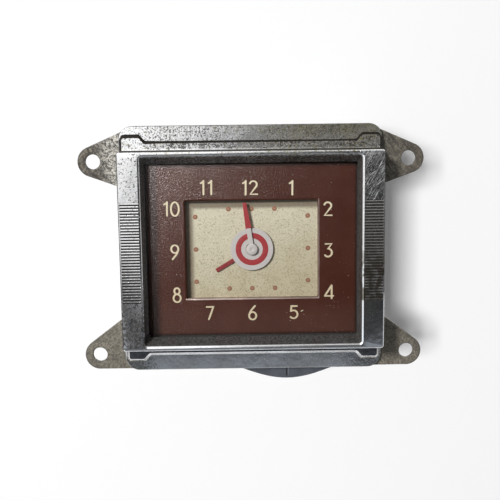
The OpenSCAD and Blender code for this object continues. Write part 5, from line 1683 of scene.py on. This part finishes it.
@dataclass
class RearCase:
    """Mounting plate with its ears, case band, cover, screws, setting knob and terminal."""

    holes: Pair = (101.6, 63.5)
    hole_d: float = 4.76
    ear_r: float = 4.85
    ear_in_top: float = 20.0
    ear_in_bottom: float = 37.0
    plate: Pair = (82.2, 79.3)
    plate_r: float = 4.0
    band_w: float = 70.7
    band_top: float = 38.0
    band_bottom: float = 38.9
    band_r: float = 3.5
    band_t: float = 0.8
    seam_x: float = 11.3
    seam_drop: float = 5.2
    seam_half: float = 20.0
    seam_w: float = 0.3
    seam_points: int = 48
    plate_edge: float = 0.22
    arbor_bore: float = 1.95
    shell_edge: float = 0.15
    cover_edge: float = 0.18
    cover_screw: ScrewSize = ScrewSize(head_r=1.9, head=1.2, shank=1.0, slot=0.55, seed=5)
    bezel_screw: ScrewSize = ScrewSize(head_r=2.1, head=1.5, shank=1.2, slot=0.6, seed=11)
    knob_r: float = 5.5
    knob_ridges: int = 20
    stud_r: float = 2.0
    stud_neck: float = 2.28
    stud_head: float = 3.2
    stud_head_t: float = 2.0
    nut_bore: float = 2.3
    thread_turns: int = 9
    thread_r: float = 1.9
    thread_long: float = 5.4
    thread_wire: float = 0.16

    def ear_side(self, hole_y: float, inner: float) -> Outline:
        """Outline of one ear from the plate's corner round to its side.

        Args:
            hole_y: Height of the ear's hole.
            inner: Slope of its inner edge in degrees.

        Returns:
            Points of the top left ear.
        """
        corner = Vector((self.plate_r - self.plate[0] / 2, self.plate[1] / 2 - self.plate_r))
        hole = Vector((-self.holes[0] / 2, hole_y))
        v = corner - hole
        outer = math.degrees(math.atan2(v.y, v.x) - math.asin((self.ear_r - self.plate_r) / v.length))
        inner_r = math.radians(inner)
        side = (self.holes[0] - self.plate[0]) / 2
        run = arc(tuple(corner), (self.plate_r, self.plate_r), 90, 90 + max(outer, 0.1), 4)
        run += arc(tuple(hole), (self.ear_r, self.ear_r), 90 + outer, 270 - inner, 28)
        slope = (side + self.ear_r * math.sin(inner_r)) * math.tan(inner_r)
        return run + [(-self.plate[0] / 2, hole_y - self.ear_r * math.cos(inner_r) - slope)]

    def ears(self) -> bpy.types.Object:
        """The mounting plate with its four ears and bolt holes.

        Returns:
            The plate.
        """
        low, high = face_box("mounting_plate")
        top = self.ear_side(self.holes[1] / 2 - RISE, self.ear_in_top)
        foot = [(x, -y) for x, y in reversed(self.ear_side(self.holes[1] / 2 + RISE, self.ear_in_bottom))]
        left = top + foot
        outline = left + [(-x, y) for x, y in reversed(left)]
        spots = [(i * self.holes[0] / 2, j * self.holes[1] / 2 - RISE) for i in (-1, 1) for j in (-1, 1)]
        bores = [circle(self.hole_d / 2, 40, spot) for spot in spots] + [circle(self.arbor_bore, 32)]
        plate = Solid().plate(outline, low.z, high.z, self.plate_edge, bores)
        return plate.done("mounting_ears", Finish.PLATE)

    def band_outline(self, wall: float) -> Outline:
        """Outline of the case with its pinched seam below.

        Args:
            wall: Distance inside the outer face.

        Returns:
            Points, anticlockwise.
        """
        middle = (self.band_top - self.band_bottom) / 2
        box = shifted(round_rect(self.band_w - 2 * wall, self.band_top + self.band_bottom - 2 * wall,
                                 max(0.5, self.band_r - wall), 8), (0, middle))
        lowest = wall - self.band_bottom
        half = self.seam_half - wall
        bulge = []
        for i in range(self.seam_points + 1):
            u = 2 * i / self.seam_points - 1
            drop = self.seam_drop * (0.5 + 0.5 * math.cos(math.pi * u)) ** 0.6
            bulge.append((self.seam_x + u * half, lowest - drop))
        ahead = [p for p in box if not (p[1] < lowest + 0.01 and p[0] > bulge[0][0])]
        after = [p for p in ahead if p[0] > 0 and p[1] < lowest + self.band_r + 0.1]
        ahead = [p for p in ahead if p not in after]
        keep = [p for p in after if p[0] > bulge[-1][0] - 0.01 and p[1] > lowest + 0.005]
        return ahead + bulge + keep

    def shell(self) -> bpy.types.Object:
        """The drawn case band, open at both ends.

        Returns:
            The band.
        """
        low, high = face_box("case_band")
        outer, inner = self.band_outline(0), self.band_outline(self.band_t)
        form = Solid()
        e = self.shell_edge
        levels = [(outer, e, low.z), (outer, 0, low.z + e), (outer, 0, high.z - e), (outer, e, high.z)]
        loops = [form.loop(inset(outline, depth), z) for outline, depth, z in levels]
        form.skin(loops)
        walls = [form.loop(inner, high.z), form.loop(inner, low.z)]
        form.skin(walls)
        form.cap(loops[-1], walls[0])
        form.cap(loops[0], walls[1])
        return form.done("case_shell", Finish.CASE)

    def web(self) -> bpy.types.Object:
        """The two turned-in ends of the sheet that close the bulge in front.

        Returns:
            Both ends as one piece.
        """
        high = face_box("case_band")[1]
        outline = self.band_outline(0)
        run = [p for p in outline
               if p[1] < -self.band_bottom - 0.05 and abs(p[0] - self.seam_x) < self.seam_half]
        roof = self.band_t - self.band_bottom
        form = Solid()
        for side in (-1, 1):
            gap = self.seam_x + side * self.seam_w / 2
            half = [p for p in run if side * (p[0] - gap) > 0.1]
            foot = (gap, -self.band_bottom - self.seam_drop + 0.02)
            shape = [*half, foot, (gap, roof), (half[0][0], roof)] if side < 0 else [
                foot, *half, (half[-1][0], roof), (gap, roof)]
            form.plate(shape, high.z - self.band_t, high.z - 0.02, 0.2, both=False)
        return form.done("case_seam_web", Finish.CASE)

    def cover(self) -> bpy.types.Object:
        """The back cover, softened at its edges.

        Returns:
            The cover.
        """
        mesh = frame["nodes"]["back_cover"].data.copy()
        form = bmesh.new()
        form.from_mesh(mesh)
        bmesh.ops.remove_doubles(form, verts=form.verts, dist=1e-6)
        bmesh.ops.dissolve_limit(form, angle_limit=math.radians(0.5), verts=form.verts, edges=form.edges)
        form.to_mesh(mesh)
        form.free()
        dress(mesh, Finish.COVER)
        piece = add_object("cover_pan", mesh)
        rim = piece.modifiers.new("rim", "BEVEL")
        rim.width, rim.segments, rim.limit_method = self.cover_edge * MM, 3, "ANGLE"
        rim.angle_limit = math.radians(50)
        smooth(piece)
        return piece

    def screws(self, name: str, node: str, size: ScrewSize) -> bpy.types.Object:
        """Four slotted screws in the corners of a CAD node's box.

        Args:
            name: Name of the piece.
            node: CAD node with the four screws.
            size: Sizes of one screw.

        Returns:
            The four screws.
        """
        low, high = face_box(node)
        template = slotted_screw("screw_template", size, high.z - low.z - size.head)
        r = size.head_r
        places = [(x, y, high.z) for x in (low.x + r, high.x - r) for y in (low.y + r, high.y - r)]
        piece = screw_pattern().grow(name, places, Finish.SCREW, screw=template, seed=size.seed)
        bpy.data.objects.remove(template)
        smooth(piece, 30)
        return piece

    def knob(self) -> None:
        """The setting knob with its grip ridges."""
        low, high = face_box("setting_knob")
        centre = middle_of(low, high)
        ridge = 2 * math.pi * self.knob_r / self.knob_ridges / 4
        r = self.knob_r - ridge
        profile = [(0.4, low.z + 0.5), (2.4, low.z + 0.35), (r - 1.3, low.z + 0.02), (r - 0.5, low.z + 0.15),
                   (r - 0.1, low.z + 0.55), (r, low.z + 1.1), (r, high.z - 0.6), (r - 0.4, high.z),
                   (r - 2.2, high.z), (1.04, high.z)]
        body = Solid().lathe(profile, centre, 64)
        mount(body.done("setting_knob_body", Finish.KNOB), Body.SETTING, "knob_plastic", "setting_knob")
        grip = ridge_pattern().grow("setting_knob_grip", [(*centre, (low.z + high.z) / 2)], Finish.KNOB,
                                    count=self.knob_ridges, orbit=r, radius=ridge,
                                    length=high.z - low.z - 1.6)
        smooth(grip, 40)
        mount(grip, Body.SETTING, "knob_plastic")

    def terminal(self) -> None:
        """The threaded stud with its nut and insulating bush."""
        low, high = face_box("terminal_stud")
        centre = middle_of(low, high)
        nut_low, nut_high = face_box("terminal_nut")
        r, neck, head = self.stud_r, self.stud_neck, self.stud_head
        shelf = high.z - self.stud_head_t
        profile = [(r - 0.5, low.z), (r, low.z + 0.5), (r, nut_low.z), (r, nut_low.z + 0.01),
                   (neck, nut_low.z + 0.05), (neck, shelf), (head, shelf), (head, high.z)]
        pin = Solid().lathe(profile, centre, 40)
        mount(pin.done("terminal_pin", Finish.BRASS), Body.CASE, "movement_brass", "terminal_stud")
        hexagon = circle((nut_high.x - nut_low.x) / 2, 6, centre)
        nut = Solid().plate(hexagon, nut_low.z, nut_high.z, 0.35, [circle(self.nut_bore, 40, centre)])
        mount(nut.done("terminal_hex_nut", Finish.BRASS, 25), Body.CASE, "movement_brass", "terminal_nut")
        thread = thread_pattern().grow(
            "terminal_thread", [(*centre, nut_low.z)], Finish.BRASS, turns=self.thread_turns,
            radius=self.thread_r, length=self.thread_long, wire=self.thread_wire)
        mount(thread, Body.CASE, "movement_brass")

    def build(self) -> None:
        """Builds and mounts the rear pieces."""
        mount(self.ears(), Body.CASE, "plate_steel", "mounting_plate")
        mount(self.shell(), Body.CASE, "case_steel", "case_band")
        mount(self.web(), Body.CASE, "case_steel")
        mount(self.cover(), Body.CASE, "cover_steel", "back_cover")
        covers = self.screws("cover_slotted_screws", "cover_screws", self.cover_screw)
        mount(covers, Body.CASE, "screw_steel", "cover_screws")
        bezels = self.screws("bezel_slotted_screws", "bezel_screws", self.bezel_screw)
        mount(bezels, Body.CASE, "screw_steel", "bezel_screws")
        self.knob()
        self.terminal()


@dataclass
class Movement:
    """CAD solids of the works, which keep their shape and get their metal."""

    dressed: dict[Finish, tuple[str, ...]] = field(default_factory=lambda: {
        Finish.DIAL: ("dial_plate",),
        Finish.RUBBER: ("lens_gasket",),
        Finish.BRASS: ("front_plate", "back_plate", "frame_pillars", "plate_spacers", "rear_posts",
                       "hour_wheel", "minute_wheel", "centre_wheel", "third_wheel", "fourth_wheel",
                       "escape_wheel", "balance_wheel", "balance_screws", "hairspring_stud"),
        Finish.STEEL: ("cannon_pinion", "minute_arbor", "setting_arbor", "centre_arbor", "third_arbor",
                       "fourth_arbor", "escape_arbor", "pallet_arbor", "pallet_lever", "balance_staff",
                       "ratchet_wheel", "pawl", "regulator_lever"),
        Finish.SCREW: ("spacer_screws", "magnet_screws"),
        Finish.BLUE: ("hairspring", "drive_spring", "contact_leaf"),
        Finish.IRON: ("magnet_core", "armature"),
        Finish.COPPER: ("coil_winding",),
        Finish.FIBRE: ("coil_bobbin", "contact_block", "terminal_bush"),
    })

    def build(self) -> None:
        """Gives each carried-over node its finish."""
        for finish, names in self.dressed.items():
            for name in names:
                dress(frame["nodes"][name].data, finish)
                log.info("%s keeps its CAD shape in %s", name, finish.value.name)


@dataclass(frozen=True)
class Lamp:
    """A square soft lamp that faces the clock, in metres and watts."""

    name: str
    place: Triple
    size: float
    power: float
    colour: Colour = (1.0, 1.0, 1.0)
    matt: bool = True

    def hang(self, target: bpy.types.Object, alone: bool = False) -> None:
        """Lights one object alone, or all but that object.

        Args:
            target: The object lit alone or left out.
            alone: Whether only that object is lit.
        """
        data = bpy.data.lights.new(self.name, "AREA")
        data.size, data.energy, data.color = self.size, self.power, self.colour
        made = add_object(self.name, data)
        made.location = self.place
        made.rotation_euler = (-Vector(self.place)).to_track_quat("-Z", "Y").to_euler()
        lit = bpy.data.collections.new(self.name)
        lit.objects.link(target)
        lit.collection_objects[0].light_linking.link_state = "INCLUDE" if alone else "EXCLUDE"
        made.light_linking.receiver_collection = lit
        made.visible_camera = made.visible_transmission = False
        made.visible_diffuse = self.matt


@dataclass
class Studio:
    """White surface behind the clock, soft lamps, a graded card and the camera."""

    eye: Triple = (-1.735, -226.70, 30.55)
    pitch: float = 7.04
    roll: float = -0.804
    yaw: float = 0.279
    lens_share: float = 1.4
    sensor: float = 36.0
    fill: float = 0.21
    floor_half: float = 1500.0
    floor_gap: float = 0.3
    floor_white: float = 0.93
    card_y: float = -900.0
    card_half: float = 3000.0
    card_foot: Colour = (0.88, 0.96, 1.06)
    key: Lamp = Lamp("key", (-0.75, -1.07, 0.54), 0.24, 21.2)
    floor_key: Lamp = Lamp("floor_key", (-0.395, -1.25, 0.13), 0.28, 16.0)
    back: Lamp = Lamp("back", (0.5, 0.9, 0.6), 0.5, 9.0)
    glance: Lamp = Lamp("sheen", (-0.41, -1.12, 0.31), 0.13, 44.0, (1.0, 0.87, 0.86), matt=False)

    def camera(self) -> None:
        """Sets the camera where the photograph was taken."""
        data = bpy.data.cameras.new("camera")
        data.sensor_width = self.sensor
        data.lens = self.lens_share * data.sensor_width
        data.clip_start = 0.01
        view = (Matrix.Rotation(math.radians(self.yaw), 3, "Z")
                @ Matrix.Rotation(math.radians(self.roll), 3, "Y")
                @ Matrix.Rotation(math.radians(self.pitch), 3, "X"))
        turn = Matrix((view[0], view[2], -view[1])).transposed()
        eye = add_object("camera", data)
        eye.matrix_world = Matrix.Translation(Vector(self.eye) * MM) @ turn.to_4x4()
        bpy.context.scene.camera = eye

    def seen(self, nodes: Nodes) -> Value:
        """1 for camera, mirror and glass rays, and 0 for the rest.

        Args:
            nodes: Tree that needs it.

        Returns:
            The factor.
        """
        path = nodes.node("ShaderNodeLightPath")
        rays = [Value(nodes, path.outputs[key]) for key in
                ("Is Camera Ray", "Is Glossy Ray", "Is Transmission Ray")]
        return rays[0].most(rays[1]).most(rays[2])

    def world(self) -> None:
        """White surroundings that light the clock softly."""
        made = bpy.data.worlds.new("studio")
        made.use_nodes = True
        bpy.context.scene.world = made
        nodes = Nodes(made.node_tree)
        soft = nodes.node("ShaderNodeBackground", None, {"Color": (1, 1, 1, 1), "Strength": self.fill})
        white = nodes.node("ShaderNodeBackground", None, {"Color": (1, 1, 1, 1), "Strength": 1.0})
        both = nodes.mixed(self.seen(nodes), soft, white)
        nodes.node("ShaderNodeOutputWorld", None, {"Surface": both.outputs[0]})

    def sheet(self, name: str, y: float, half: float, material: bpy.types.Material) -> bpy.types.Object:
        """An upright square that faces the camera side.

        Args:
            name: Name of the object.
            y: Its depth in millimetres.
            half: Half its side in millimetres.
            material: Its material.

        Returns:
            The square.
        """
        mesh = bpy.data.meshes.new(name)
        side = half * MM
        mesh.from_pydata([(-side, y * MM, -side), (side, y * MM, -side), (side, y * MM, side),
                          (-side, y * MM, side)], [], [(0, 1, 2, 3)])
        mesh.materials.append(material)
        made = add_object(name, mesh)
        return made

    def floor(self) -> bpy.types.Object:
        """The white surface that the clock lies on its back on, seen from its front only.

        Returns:
            The surface.
        """
        sheet = Sheet("white_floor")
        back = sheet.value("ShaderNodeNewGeometry", output="Backfacing")
        matt = sheet.node("ShaderNodeBsdfDiffuse", None, {"Color": (*[self.floor_white] * 3, 1)})
        lift = sheet.node("ShaderNodeEmission", None, {"Color": (1, 1, 1, 1), "Strength": 0.02})
        both = sheet.node("ShaderNodeAddShader", None, {0: matt.outputs[0], 1: lift.outputs[0]})
        clear = sheet.node("ShaderNodeBsdfTransparent")
        material = sheet.close(sheet.mixed(self.seen(sheet) * (1 - back), clear, both))
        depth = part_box("terminal_stud")[1].y / MM + self.floor_gap
        return self.sheet("floor", depth, self.floor_half, material)

    def card(self) -> None:
        """A graded card behind the camera that only mirrors see, light at its upper left."""
        sheet = Sheet("graded_card")
        lean = 0.7 * sheet.up.least(100.0) - sheet.x
        foot = (-sheet.up).ramp(262, 300)
        glow = 0.024 + 0.976 * lean.ramp(15, 210) + 0.24 * foot
        glow = glow + sheet.up.ramp(30, 90) * (0.28 - 0.17 * sheet.x.ramp(40, 150))
        glow = glow + 0.9 * sheet.up.ramp(700, 1200)
        tone = sheet.tint(foot, (1, 1, 1), self.card_foot)
        shade = sheet.value("ShaderNodeVectorMath", {"operation": "SCALE"}, {0: tone, "Scale": glow})
        light = sheet.node("ShaderNodeEmission", None, {"Color": shade, "Strength": 1.0})
        made = self.sheet("card", self.card_y, self.card_half, sheet.close(light))
        made.visible_camera = made.visible_diffuse = made.visible_shadow = made.visible_transmission = False

    def build(self) -> None:
        """Builds the stage."""
        self.camera()
        self.world()
        floor = self.floor()
        self.card()
        self.key.hang(floor)
        self.floor_key.hang(floor, alone=True)
        self.back.hang(floor)
        bpy.context.scene.view_settings.view_transform = "Standard"

    def sheen(self) -> None:
        """A small lamp whose glance alone shows on the half-matt mask."""
        self.glance.hang(bpy.data.objects["mask_pan"], alone=True)


def main() -> None:
    """Builds the clock's looks in order."""
    logging.basicConfig(level=logging.INFO, format="%(name)s: %(message)s")
    studio = Studio()
    studio.build()
    Movement().build()
    RearCase().build()
    Bezel().build()
    DialFace().build()
    Hands().build()
    studio.sheen()


if __name__ == "__main__":
    main()
